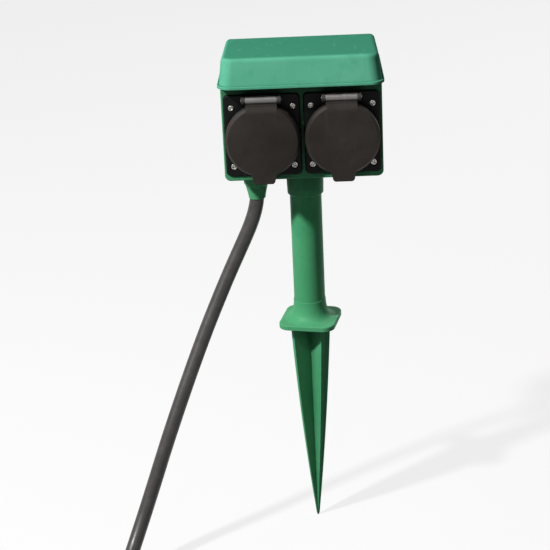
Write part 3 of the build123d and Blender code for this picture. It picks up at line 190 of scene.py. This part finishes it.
class Nodes:
    """A small helper that adds and links shader nodes."""

    def __init__(self, name):
        self.material = bpy.data.materials.new(name)
        self.material.use_nodes = True
        self.tree = self.material.node_tree
        self.shader = self.tree.nodes["Principled BSDF"]
        self.place = self.add("ShaderNodeTexCoord").outputs["Object"]

    def feed(self, socket, value):
        """Links another node's output to the socket, or sets the socket's own value."""
        if hasattr(value, "is_output"):
            self.tree.links.new(value, socket)
        else:
            socket.default_value = value

    def add(self, kind, **inputs):
        """A new node; an underscore stands for the space in an input's name."""
        node = self.tree.nodes.new(kind)
        for key, value in inputs.items():
            self.feed(node.inputs[key.replace("_", " ")], value)
        return node

    def noise(self, scale, detail=4.0, roughness=0.55, vector=None):
        node = self.add(
            "ShaderNodeTexNoise",
            Vector=vector or self.place,
            Scale=scale,
            Detail=detail,
            Roughness=roughness,
        )
        return node.outputs["Fac"]

    def stretched(self, x, y, z):
        return self.add("ShaderNodeMapping", Vector=self.place, Scale=(x, y, z)).outputs["Vector"]

    def remap(self, value, low, high, to_low=0.0, to_high=1.0):
        node = self.add(
            "ShaderNodeMapRange",
            Value=value,
            From_Min=low,
            From_Max=high,
            To_Min=to_low,
            To_Max=to_high,
        )
        return node.outputs["Result"]

    def mix(self, factor, a, b):
        node = self.tree.nodes.new("ShaderNodeMix")
        node.data_type = "RGBA"
        for name, value in (("Factor", factor), ("A", a), ("B", b)):
            self.feed([s for s in node.inputs if s.name == name and s.enabled][0], value)
        return [s for s in node.outputs if s.enabled][0]

    def over(self, base, colour, mask, strength):
        """The base colour with another laid over it where the mask is 1, at a strength."""
        return self.mix(self.math("MULTIPLY", mask, strength), base, colour)

    def math(self, operation, a, b):
        node = self.tree.nodes.new("ShaderNodeMath")
        node.operation = operation
        self.feed(node.inputs[0], a)
        self.feed(node.inputs[1], b)
        return node.outputs[0]

    def bump(self, height, strength, distance, normal=None):
        node = self.add("ShaderNodeBump", Strength=strength, Distance=distance, Height=height)
        if normal is not None:
            self.feed(node.inputs["Normal"], normal)
        return node.outputs["Normal"]

    def rounded(self, radius):
        node = self.add("ShaderNodeBevel", Radius=radius)
        node.samples = BEVEL_SAMPLES
        return node.outputs["Normal"]

    def edges(self, soft):
        """How far the softened normal turns from the true one: 0 on a face, 1 on an edge."""
        true = self.add("ShaderNodeNewGeometry").outputs["Normal"]
        node = self.tree.nodes.new("ShaderNodeVectorMath")
        node.operation = "DOT_PRODUCT"
        self.feed(node.inputs[0], soft)
        self.feed(node.inputs[1], true)
        return self.remap(node.outputs["Value"], FLAT_DOT, SHARP_DOT)

    def painted_hollow_shade(self, reach, start, full):
        """Painted shade: 1 in narrow gaps and corners, 0 on open faces."""
        node = self.add("ShaderNodeAmbientOcclusion", Distance=reach)
        node.samples = HOLLOW_SHADE_SAMPLES
        return self.remap(node.outputs["AO"], start, full)

    def near_hinge(self, reach):
        """1 close to the lids' hinge axis, 0 further away than the reach."""
        apart = self.add("ShaderNodeSeparateXYZ", Vector=self.place)
        y = self.math("ADD", apart.outputs["Y"], -HINGE_Y * MM)
        z = self.math("ADD", apart.outputs["Z"], -HINGE_Z * MM)
        squared = self.math("ADD", self.math("MULTIPLY", y, y), self.math("MULTIPLY", z, z))
        away = self.math("POWER", squared, 0.5)
        return self.remap(away, reach * HINGE_FADE[0], reach * HINGE_FADE[1])

    def put(self, **values):
        """Gives the shader its inputs and returns the material."""
        for key, value in values.items():
            self.feed(self.shader.inputs[key.replace("_", " ")], value)
        return self.material


# Painted shade in hollows: its reach, the openness at which it starts and is full, and its
# strength
LIGHT_HOLLOW_SHADE = (12.0 * MM, 0.8, 0.3, 0.75)
DEEP_HOLLOW_SHADE = (25.0 * MM, 0.9, 0.55, 0.85)
HOLLOW_SHADE_COLOUR = srgb(10, 18, 14)


def moulded_plastic(
    name, colour, pale, dark, roughness, grain=0.25, wear=0.25, specular=0.5,
    painted_hinge_highlight=None, painted_top_shade=None, hollow_shade=LIGHT_HOLLOW_SHADE,
):
    """Moulded plastic: spark-eroded grain, slow colour drift, scuffs, and paler, softened edges.

    The colour given near the hinge is a painted highlight on the hinge ears, which are also
    smoother there from use, and the colour given for upward faces is painted shade on them.
    """
    m = Nodes(name)
    drift = m.remap(m.noise(scale=18.0, detail=3.0), low=0.35, high=0.65)
    base = m.over(colour, pale, drift, strength=0.45)
    # Painted shade: faces that look up take the darker colour
    if painted_top_shade:
        facing = m.add("ShaderNodeNewGeometry").outputs["Normal"]
        upward = m.add("ShaderNodeSeparateXYZ", Vector=facing).outputs["Z"]
        base = m.mix(m.remap(upward, low=0.8, high=0.98), base, painted_top_shade)
    cloud = m.remap(m.noise(scale=70.0, detail=6.0, roughness=0.65), low=0.5, high=0.72)
    base = m.over(base, dark, cloud, strength=0.4)
    streaks = m.stretched(1.0, 0.35, 0.1)
    scuff = m.noise(scale=240.0, detail=3.0, roughness=0.6, vector=streaks)
    scuff = m.remap(scuff, low=0.6, high=0.72)
    base = m.over(base, pale, scuff, strength=0.2)
    # Painted shade: a darker colour in gaps, corners and under overhangs
    base = m.over(base, HOLLOW_SHADE_COLOUR, m.painted_hollow_shade(*hollow_shade[:3]), strength=hollow_shade[3])
    soft = m.rounded(0.4 * MM)
    base = m.over(base, pale, m.edges(soft), strength=wear)
    fine = m.noise(scale=2600.0, detail=2.0, roughness=0.5)
    wave = m.noise(scale=60.0, detail=2.0, roughness=0.5)
    waved = m.bump(wave, strength=0.25, distance=0.25 * MM, normal=soft)
    normal = m.bump(fine, strength=grain, distance=0.05 * MM, normal=waved)
    rough = m.remap(
        m.noise(scale=45.0), low=0.3, high=0.7, to_low=roughness - 0.06, to_high=roughness + 0.06
    )
    rough = m.math("ADD", rough, m.math("MULTIPLY", scuff, 0.08))
    # Painted highlight: a paler colour near the hinge axis, where the roughness also drops
    if painted_hinge_highlight:
        close = m.near_hinge(3.0 * MM)
        base = m.mix(close, base, painted_hinge_highlight)
        rough = m.math("SUBTRACT", rough, m.math("MULTIPLY", close, 0.16))
    return m.put(Base_Color=base, Roughness=rough, Normal=normal, Specular_IOR_Level=specular)


def rubber(name, colour, pale, roughness, specular):
    """Rubber: dull, slightly bloomed, with a fine skin."""
    m = Nodes(name)
    bloom = m.remap(m.noise(scale=90.0, detail=5.0, roughness=0.65), low=0.45, high=0.75)
    base = m.over(colour, pale, bloom, strength=0.5)
    skin = m.noise(scale=1800.0, detail=3.0)
    dents = m.bump(m.noise(scale=240.0, detail=2.0), strength=0.15, distance=0.15 * MM)
    normal = m.bump(skin, strength=0.3, distance=0.06 * MM, normal=dents)
    rough = m.remap(
        m.noise(scale=130.0), low=0.3, high=0.7, to_low=roughness - 0.07, to_high=roughness + 0.09
    )
    return m.put(Base_Color=base, Roughness=rough, Normal=normal, Specular_IOR_Level=specular)


def metal(name, colour, tarnish, roughness):
    """Bright metal with a fine surface and a little tarnish."""
    m = Nodes(name)
    dull = m.remap(m.noise(scale=400.0), low=0.45, high=0.75, to_high=0.6)
    base = m.mix(dull, colour, tarnish)
    fine = m.noise(scale=1500.0, detail=2.0, roughness=0.5)
    normal = m.bump(fine, strength=0.12, distance=0.03 * MM, normal=m.rounded(0.12 * MM))
    rough = m.remap(
        m.noise(scale=700.0, detail=3.0),
        low=0.3, high=0.7, to_low=roughness - 0.05, to_high=roughness + 0.08,
    )
    return m.put(Base_Color=base, Roughness=rough, Normal=normal, Metallic=1.0)


def insulation(name, colour, band=None):
    """Lead insulation: smooth soft vinyl, with bands of a second colour on the earth lead."""
    m = Nodes(name)
    soiled = m.remap(m.noise(scale=300.0, detail=3.0), low=0.4, high=0.7, to_high=0.25)
    base = m.mix(soiled, colour, srgb(30, 30, 30))
    if band:
        wave = m.add("ShaderNodeTexWave", Vector=m.place, Scale=95.0)
        wave.bands_direction = "DIAGONAL"
        base = m.mix(m.remap(wave.outputs["Fac"], low=0.45, high=0.55), base, band)
    normal = m.bump(m.noise(scale=900.0, detail=2.0), strength=0.15, distance=0.04 * MM)
    rough = m.remap(m.noise(scale=200.0), low=0.3, high=0.7, to_low=0.34, to_high=0.46)
    return m.put(Base_Color=base, Roughness=rough, Normal=normal)


# Each plastic's own colour, its pale one and its dark one
GREENS = (srgb(72, 161, 109), srgb(102, 184, 136), srgb(50, 138, 93))
# The hood's greens are paler and bluer than the others: a painted reflection of the sky
SKY_SHEEN_HOOD_GREENS = (srgb(85, 171, 138), srgb(116, 198, 166), srgb(65, 150, 120))
LID_BROWNS = (srgb(41, 36, 33), srgb(76, 71, 68), srgb(31, 27, 25))
# Pale greys for the hinge barrel: a painted highlight on the lids' brown plastic
KNUCKLE_HIGHLIGHT_GREYS = (srgb(104, 100, 98), srgb(150, 146, 143), srgb(80, 76, 74))
BLACKS = (srgb(15, 15, 16), srgb(36, 35, 36), srgb(9, 9, 10))
CREAMS = (srgb(214, 208, 194), srgb(226, 221, 208), srgb(196, 188, 172))

GREEN = moulded_plastic("green_plastic", *GREENS, roughness=0.48, specular=0.14)
# The body's painted shade reaches further, to darken its face under the hood and between the lids
BODY = moulded_plastic("body_plastic", *GREENS, roughness=0.48, specular=0.14, hollow_shade=DEEP_HOLLOW_SHADE)
# The hood's roof takes a darker green on its upward faces: painted shade
HOOD = moulded_plastic(
    "hood_plastic", *SKY_SHEEN_HOOD_GREENS, roughness=0.5, wear=0.4, specular=0.0, painted_top_shade=srgb(68, 147, 118)
)
LID = moulded_plastic(
    "lid_plastic", *LID_BROWNS, roughness=0.42, grain=0.3, wear=0.5, specular=0.14
)
KNUCKLE_HIGHLIGHT = moulded_plastic(
    "knuckle_painted_highlight", *KNUCKLE_HIGHLIGHT_GREYS, roughness=0.28, grain=0.15, wear=0.5, specular=0.9
)
# The black insert's hinge ears take a painted highlight near the hinge axis
BLACK = moulded_plastic(
    "black_plastic", *BLACKS,
    roughness=0.42, grain=0.3, wear=0.3, specular=0.1, painted_hinge_highlight=srgb(96, 93, 92),
)
CARRIER = moulded_plastic("carrier_plastic", *CREAMS, roughness=0.5)
SEAL = rubber("black_rubber", srgb(24, 24, 24), srgb(38, 38, 38), roughness=0.6, specular=0.3)
SHEATH = rubber("cord_sheath", srgb(56, 52, 51), srgb(92, 88, 87), roughness=0.4, specular=0.5)
PLUG = rubber("plug_rubber", srgb(30, 30, 30), srgb(46, 45, 45), roughness=0.5, specular=0.3)
STEEL = metal("zinc_steel", srgb(176, 174, 168), srgb(112, 106, 98), roughness=0.3)
BRASS = metal("brass", srgb(206, 168, 92), srgb(160, 124, 62), roughness=0.3)
NICKEL = metal("nickel", srgb(202, 198, 188), srgb(168, 164, 154), roughness=0.22)
LEADS = (
    insulation("brown_insulation", srgb(96, 58, 34)),
    insulation("blue_insulation", srgb(40, 92, 168)),
    insulation("earth_insulation", srgb(52, 140, 66), band=srgb(214, 196, 48)),
)

BY_SLOT = {
    "green_plastic": GREEN,
    "lid_plastic": LID,
    "black_plastic": BLACK,
    "carrier_plastic": CARRIER,
    "black_rubber": SEAL,
    "cord_sheath": SHEATH,
    "plug_rubber": PLUG,
    "steel": STEEL,
    "brass": BRASS,
    "nickelled_brass": NICKEL,
    "lead_insulation": LEADS[0],
}


def dress(obj, material):
    """Gives an object one material in all its slots."""
    if not obj.material_slots:
        obj.data.materials.append(material)
    for entry in obj.material_slots:
        entry.material = material


for part in frame["record"]["subparts"]:
    dress(nodes[part["node"]], BY_SLOT[part["material_slot"]])
dress(nodes["hood"], HOOD)
dress(nodes["housing_body"], BODY)
dress(cord, SHEATH)

# Detailed pieces

CREASE_ANGLE = 24.0
MERGE = 0.001 * MM


def new_piece(name, mesh, material, body, slot, *replaced):
    """Adds a piece, gives it its body and its finish, and hides the nodes that it replaces."""
    piece = bpy.data.objects.new(name, mesh)
    scene.collection.objects.link(piece)
    if material:
        dress(piece, material)
    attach(piece, body)
    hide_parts(*replaced)
    return piece


def mesh_of(bm, name):
    """The bmesh as a new mesh."""
    mesh = bpy.data.meshes.new(name)
    bm.to_mesh(mesh)
    bm.free()
    return mesh


def finish_mesh(bm, name, smooth_angle=35.0):
    """Turns a bmesh into a mesh, smooth except across sharp edges."""
    bmesh.ops.remove_doubles(bm, verts=bm.verts, dist=MERGE)
    bmesh.ops.recalc_face_normals(bm, faces=bm.faces)
    limit = math.radians(smooth_angle)
    for edge in bm.edges:
        edge.smooth = edge.calc_face_angle(0.0) < limit
    for face in bm.faces:
        face.smooth = True
    return mesh_of(bm, name)


def refinished(mesh, name, smooth_angle):
    """A mesh that was cut, with its edges made smooth or sharp again."""
    bm = bmesh.new()
    bm.from_mesh(mesh)
    return finish_mesh(bm, name, smooth_angle)


def turned(stations, segments=32, threads=None):
    """A closed form turned about +Z through (radius, height) stations, with a thread if asked."""
    bm = bmesh.new()
    rings = []
    for radius, height in stations:
        if radius == 0:
            rings.append([bm.verts.new((0, 0, height * MM))])
            continue
        ring = []
        for k in range(segments):
            angle = 2 * math.pi * k / segments
            r = radius
            if threads and threads["low"] < height < threads["high"]:
                turn = height / threads["pitch"] - k / segments
                r -= threads["depth"] * (0.5 - 0.5 * math.cos(2 * math.pi * turn))
            x, y = r * math.cos(angle) * MM, r * math.sin(angle) * MM
            ring.append(bm.verts.new((x, y, height * MM)))
        rings.append(ring)
    for low, high in zip(rings, rings[1:]):
        for k in range(segments):
            j = k + 1
            a, b = low[k % len(low)], low[j % len(low)]
            c, d = high[j % len(high)], high[k % len(high)]
            bm.faces.new(list(dict.fromkeys((a, b, c, d))))
    return bm


def carved(mesh, cutter, operation="DIFFERENCE"):
    """The mesh with another closed mesh taken away from it or joined to it."""
    piece = bpy.data.objects.new("work", mesh)
    tool = bpy.data.objects.new("tool", cutter)
    scene.collection.objects.link(piece)
    scene.collection.objects.link(tool)
    cut = piece.modifiers.new("cut", "BOOLEAN")
    cut.operation = operation
    cut.solver = "EXACT"
    cut.object = tool
    deps = bpy.context.evaluated_depsgraph_get()
    result = bpy.data.meshes.new_from_object(piece.evaluated_get(deps))
    bpy.data.objects.remove(piece)
    bpy.data.objects.remove(tool)
    return result


def between(rings, name):
    """A closed mesh between two rings of places, in mm, that have the same count."""
    bm = bmesh.new()
    low, high = [[bm.verts.new([v * MM for v in place]) for place in ring] for ring in rings]
    bm.faces.new(low)
    bm.faces.new(high[::-1])
    for k in range(len(low)):
        j = (k + 1) % len(low)
        bm.faces.new((low[k], high[k], high[j], low[j]))
    bmesh.ops.recalc_face_normals(bm, faces=bm.faces)
    return mesh_of(bm, name)


def prism_x(outline, low, high):
    """A prism along X: the outline gives (y, z), and it runs from low to high."""
    return between([[(x, y, z) for y, z in outline] for x in (low, high)], "prism")


# Screws. The cross is wider above the head than at its floor, and its slots narrow less
CROSS_TOP_SCALE = 1.5
CROSS_FLOOR_SCALE = 0.42
SLOT_NARROWING = 0.4
CROSS_SPAN_SHARE = 0.56
CROSS_WIDTH_SHARE = 0.15
CROSS_DEPTH_SHARE = 0.62
SHANK_D = 3.0
THREAD_PITCH = 1.1
THREAD_DEPTH = 0.3
STATIONS_A_THREAD = 6
FIRST_SCREW_TURN = 17.0
NEXT_SCREW_TURN = 25.0
CORNERS = ((0, 0), (0, 1), (1, 0), (1, 1))
# How a screw that points down -Z is turned to face a side, and the axis that it then lies on
FACING = {"front": (90.0, 1), "back": (-90.0, 1), "down": (180.0, 2)}


def cross_recess(span, width, depth, top):
    """The tapered cross that a driver leaves in a screw's head."""
    rings = []
    for z, scale in ((top + depth / 2, CROSS_TOP_SCALE), (top - depth, CROSS_FLOOR_SCALE)):
        a = span / 2 * scale
        b = width / 2 * (1 - SLOT_NARROWING + SLOT_NARROWING * scale)
        plan = [(a, -b), (a, b), (b, b), (b, a), (-b, a), (-b, b)]
        plan += [(-a, b), (-a, -b), (-b, -b), (-b, -a), (b, -a), (b, -b)]
        rings.append([(x, y, z) for x, y in plan])
    return between(rings, "cross")


def screw_mesh(head_d, head, length):
    """A cross-head screw along -Z from its head's underside at the origin, in mm."""
    r, shank = head_d / 2, SHANK_D / 2
    tip = -length
    steps = [(0, tip), (0.35, tip + 0.25)]
    rows = int((length - shank) / THREAD_PITCH * STATIONS_A_THREAD)
    steps += [(shank, tip + shank + (length - shank) * k / rows) for k in range(rows)]
    steps += [(shank, -0.1), (shank, 0), (r - 0.1, 0), (r, 0.12), (r, head * 0.42)]
    steps += [(r - head * 0.16, head * 0.7), (r - head * 0.42, head * 0.9)]
    steps += [(r * 0.45, head * 0.985), (0, head)]
    thread = {"low": tip + 0.5, "high": -0.8, "pitch": THREAD_PITCH, "depth": THREAD_DEPTH}
    body = finish_mesh(turned(steps, 24, thread), "screw")
    cross = cross_recess(
        head_d * CROSS_SPAN_SHARE, head_d * CROSS_WIDTH_SHARE, head * CROSS_DEPTH_SHARE, head
    )
    return refinished(carved(body, cross), "screw", 30.0)


def screws(node, head_d, head, facing, places=CORNERS):
    """Cross-head screws in place of a node's plain ones.

    Each place is a share, 0, 0.5 or 1, of the node's box on its two other axes.
    """
    low, high = [Vector(v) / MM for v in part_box(node)]
    angle, axis = FACING[facing]
    turn = Matrix.Rotation(math.radians(angle), 4, "X")
    head_at = high[axis] - head if facing == "back" else low[axis] + head
    one = screw_mesh(head_d, head, high[axis] - low[axis] - head)
    r = head_d / 2
    bm = bmesh.new()
    for n, corner in enumerate(places):
        spot = [0.0, 0.0, 0.0]
        spot[axis] = head_at
        for k, side in zip([k for k in range(3) if k != axis], corner):
            spot[k] = (low[k] + r, (low[k] + high[k]) / 2, high[k] - r)[int(side * 2)]
        spin = Matrix.Rotation(math.radians(FIRST_SCREW_TURN + NEXT_SCREW_TURN * n), 4, "Z")
        copy = one.copy()
        copy.transform(Matrix.Translation(Vector(spot) * MM) @ turn @ spin)
        bm.from_mesh(copy)
    return new_piece(node + "_crossed", mesh_of(bm, node), STEEL, "post", "steel", node)


for side in SOCKET_X:
    screws("flange_screws_" + side, 4.8, 1.5, "front")
    screws("centre_screw_" + side, 5.6, 1.6, "front", [(0.5, 0.5)])
screws("rear_cover_screws", 6.0, 1.8, "back")
screws("hood_screws", 5.4, 1.5, "down", [(0, 0.5), (1, 0.5)])

# Lids: the neck slopes up from a chord across the disc, and a crease sets the barrel off

KNUCKLE_R = 2.8
KNUCKLE_HALF = 14.0
KNUCKLE_MARGIN = 0.04
WEDGE_HALF = 18.0
# (y, z) of what is cut away in front of the neck
LID_SLOPE = [(-46.0, 165.0), (-43.42, 165.0), (-41.5, 168.7), (-40.25, 169.4)]
LID_SLOPE += [(-40.15, 170.3), (-40.9, 171.7), (-46.0, 171.7)]
# The riveted pin end: (share of the pin's radius, height past the pin's end)
RIVET = [(0, 0.55), (0.7, 0.42), (1.15, 0.12), (1.15, -0.02), (1.0, -0.02)]


def on_hinge(mesh, x):
    """Lays a form that was turned about Z along the hinge axis, centred on a socket."""
    across = Matrix.Rotation(math.radians(90), 4, "Y")
    mesh.transform(Matrix.Translation(Vector((x, HINGE_Y, HINGE_Z)) * MM) @ across)
    return mesh


def off_axis(point):
    """A point's distance from the hinge axis, in mm."""
    return math.hypot(point.y / MM - HINGE_Y, point.z / MM - HINGE_Z)


for side, x in SOCKET_X.items():
    knuckle = [(0, -KNUCKLE_HALF), (KNUCKLE_R, -KNUCKLE_HALF)]
    knuckle += [(KNUCKLE_R, KNUCKLE_HALF), (0, KNUCKLE_HALF)]
    barrel = on_hinge(finish_mesh(turned(knuckle, 48), "barrel"), x)
    wedge = carved(prism_x(LID_SLOPE, x - WEDGE_HALF, x + WEDGE_HALF), barrel)
    mesh = refinished(carved(nodes["lid_" + side].data.copy(), wedge), "lid", CREASE_ANGLE)
    name = "lid_%s" % side
    new_piece(name + "_moulded", mesh, LID, name, "lid_plastic", name)
    # The barrel's faces take the pale grey: a painted highlight
    mesh.materials.append(KNUCKLE_HIGHLIGHT)
    for face in mesh.polygons:
        reach = max(off_axis(mesh.vertices[k].co) for k in face.vertices)
        face.material_index = int(reach < KNUCKLE_R + KNUCKLE_MARGIN)

    name = "hinge_pin_%s" % side
    low, high = [Vector(v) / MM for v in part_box(name)]
    half, pin_r = (high.x - low.x) / 2, (high.y - low.y) / 2
    steps = [(pin_r * share, -half - out) for share, out in RIVET]
    steps += [(pin_r * share, half + out) for share, out in RIVET[::-1]]
    pin = on_hinge(finish_mesh(turned(steps, 24), "pin"), x)
    new_piece(name + "_riveted", pin, STEEL, "post", "steel", name)

# Spike: the plate rises to the tube in one hollow flare, through (radius, z) stations

FLARE = [(18.2, 3.5), (16.4, 4.05), (14.8, 4.95), (13.5, 6.3), (12.6, 8.0), (11.95, 10.2)]
FLARE += [(11.5, 12.6), (11.25, 15.0), (11.15, 17.4), (10.95, 17.7)]
SKIRT_LOOP = [(11.02, 2.9), (18.8, 2.9)] + FLARE[:5] + [(11.02, 8.0), (11.02, 2.9)]
SLEEVE_LOOP = [(10.86, 10.2), (11.95, 10.2)] + FLARE[6:] + [(10.86, 17.7), (10.86, 10.2)]
ABOVE_LOOP = [(11.0, 12.8), (11.49, 12.6)] + FLARE[5::-1]
ABOVE_LOOP += [(30.0, 3.5), (30.0, 14.0), (11.0, 14.0), (11.0, 12.8)]
FLARE_SEGMENTS = 96

skirt = finish_mesh(turned(SKIRT_LOOP, FLARE_SEGMENTS), "skirt")
above = finish_mesh(turned(ABOVE_LOOP, FLARE_SEGMENTS), "above")
sleeve = finish_mesh(turned(SLEEVE_LOOP, FLARE_SEGMENTS), "sleeve")
spike = carved(carved(nodes["ground_spike"].data.copy(), skirt, "UNION"), above)
spike = refinished(carved(spike, sleeve, "UNION"), "spike", CREASE_ANGLE)
new_piece("ground_spike_flared", spike, GREEN, "post", "green_plastic", "ground_spike")

# Strain relief: a flange under the housing and a soft boot that narrows onto the cord

BOOT = [(6.6, 122.9), (6.6, 114.4), (8.1, 114.38), (8.6, 113.9), (8.7, 113.2), (8.7, 103.4)]
BOOT += [(8.55, 102.7), (8.1, 102.2), (7.75, 101.6), (7.3, 99.9), (6.75, 97.6), (6.2, 95.2)]
BOOT += [(5.85, 93.2), (5.8, 92.4), (5.6, 91.9), (5.25, 91.7), (5.06, 91.9), (5.06, 122.9)]
BOOT += [(6.6, 122.9)]

boot = finish_mesh(turned(BOOT, 48), "boot", 40.0)
boot.transform(Matrix.Translation(Vector((*CORD_ROUTE[0][:2], 0)) * MM))
new_piece("cable_gland_boot", boot, GREEN, "post", "green_plastic", "cable_gland")

# Leads in their colours


def coloured_leads(node):
    """A node's separate leads as one piece, each in its own colour."""
    bm = bmesh.new()
    bm.from_mesh(nodes[node].data)
    bm.faces.ensure_lookup_table()
    left = set(bm.faces)
    count = 0
    while left:
        todo = [min(left, key=lambda f: f.index)]
        left.discard(todo[0])
        while todo:
            face = todo.pop()
            face.material_index = count
            face.smooth = True
            for edge in face.edges:
                for other in edge.link_faces:
                    if other in left:
                        left.discard(other)
                        todo.append(other)
        count += 1
    mesh = mesh_of(bm, node)
    for k in range(count):
        mesh.materials.append(LEADS[k % len(LEADS)])
    new_piece(node + "_coloured", mesh, None, "post", "lead_insulation", node)


coloured_leads("supply_leads")
coloured_leads("jumper_leads")

# Stage: a pale floor at the spike's tip, which keeps the shadow, under an even pale sky

FLOOR_Z = -156.0 * MM
FLOOR_REACH = 8.0
FLOOR_GLOW = 0.82
FLOOR_SEEN = (0.92, 0.92, 0.92, 1.0)
FLOOR_BOUNCE = (0.14, 0.14, 0.14, 1.0)
SKY_LIGHT = 0.022
SKY_SEEN = 0.84
WHITE = (1.0, 1.0, 1.0, 1.0)

floor_mesh = bpy.data.meshes.new("floor")
ends = (-FLOOR_REACH, FLOOR_REACH)
floor_mesh.from_pydata([(x, y, FLOOR_Z) for x in ends for y in ends], [], [(0, 2, 3, 1)])
floor = bpy.data.objects.new("floor", floor_mesh)
scene.collection.objects.link(floor)
ground = Nodes("floor_white")
path = ground.add("ShaderNodeLightPath")
seen = ground.math("MAXIMUM", path.outputs["Is Camera Ray"], path.outputs["Is Glossy Ray"])
seen = ground.math("MAXIMUM", seen, path.outputs["Is Transmission Ray"])
ground.put(
    Base_Color=ground.mix(path.outputs["Is Camera Ray"], FLOOR_BOUNCE, FLOOR_SEEN),
    Roughness=0.9,
    Specular_IOR_Level=0.1,
)
glow = ground.add("ShaderNodeEmission", Strength=1.0)
blend = ground.add("ShaderNodeMixShader", Fac=ground.math("MULTIPLY", seen, FLOOR_GLOW))
surface = ground.tree.nodes["Material Output"].inputs["Surface"]
ground.feed(blend.inputs[1], ground.shader.outputs[0])
ground.feed(blend.inputs[2], glow.outputs[0])
ground.feed(surface, blend.outputs[0])
floor_mesh.materials.append(ground.material)

world = bpy.data.worlds.new("studio")
scene.world = world
world.use_nodes = True
sky = world.node_tree
background = sky.nodes["Background"]
sky_path = sky.nodes.new("ShaderNodeLightPath")
shown = sky_path.outputs["Is Camera Ray"]
for ray in ("Is Glossy Ray", "Is Transmission Ray"):
    join = sky.nodes.new("ShaderNodeMath")
    join.operation = "MAXIMUM"
    sky.links.new(sky_path.outputs[ray], join.inputs[0])
    sky.links.new(shown, join.inputs[1])
    shown = join.outputs[0]
level = sky.nodes.new("ShaderNodeMapRange")
level.inputs["To Min"].default_value = SKY_LIGHT
level.inputs["To Max"].default_value = SKY_SEEN
sky.links.new(shown, level.inputs["Value"])
sky.links.new(level.outputs["Result"], background.inputs["Strength"])
background.inputs["Color"].default_value = WHITE

# Soft square lamps: azimuth (0 is in front, positive to the right), elevation, distance,
# size in metres and power in watts
LAMP_AIM = Vector((0.0, -0.01, 0.08))
LAMPS = {
    "key": (-54.0, 43.5, 1.6, 0.1, 30.0),
    "top": (-6.0, 40.0, 1.8, 0.09, 1.1),
    "fill": (-30.0, 8.0, 2.0, 1.5, 0.8),
    "back": (140.0, 25.0, 1.8, 1.2, 7.5),
}
for name, (azimuth, elevation, distance, size, power) in LAMPS.items():
    light = bpy.data.lights.new(name, "AREA")
    light.shape = "SQUARE"
    light.size = size
    light.energy = power
    lamp = bpy.data.objects.new(name, light)
    scene.collection.objects.link(lamp)
    a, e = math.radians(azimuth), math.radians(elevation)
    way = Vector((math.sin(a) * math.cos(e), -math.cos(a) * math.cos(e), math.sin(e)))
    lamp.location = LAMP_AIM + distance * way
    lamp.rotation_euler = (LAMP_AIM - lamp.location).to_track_quat("-Z", "Y").to_euler()
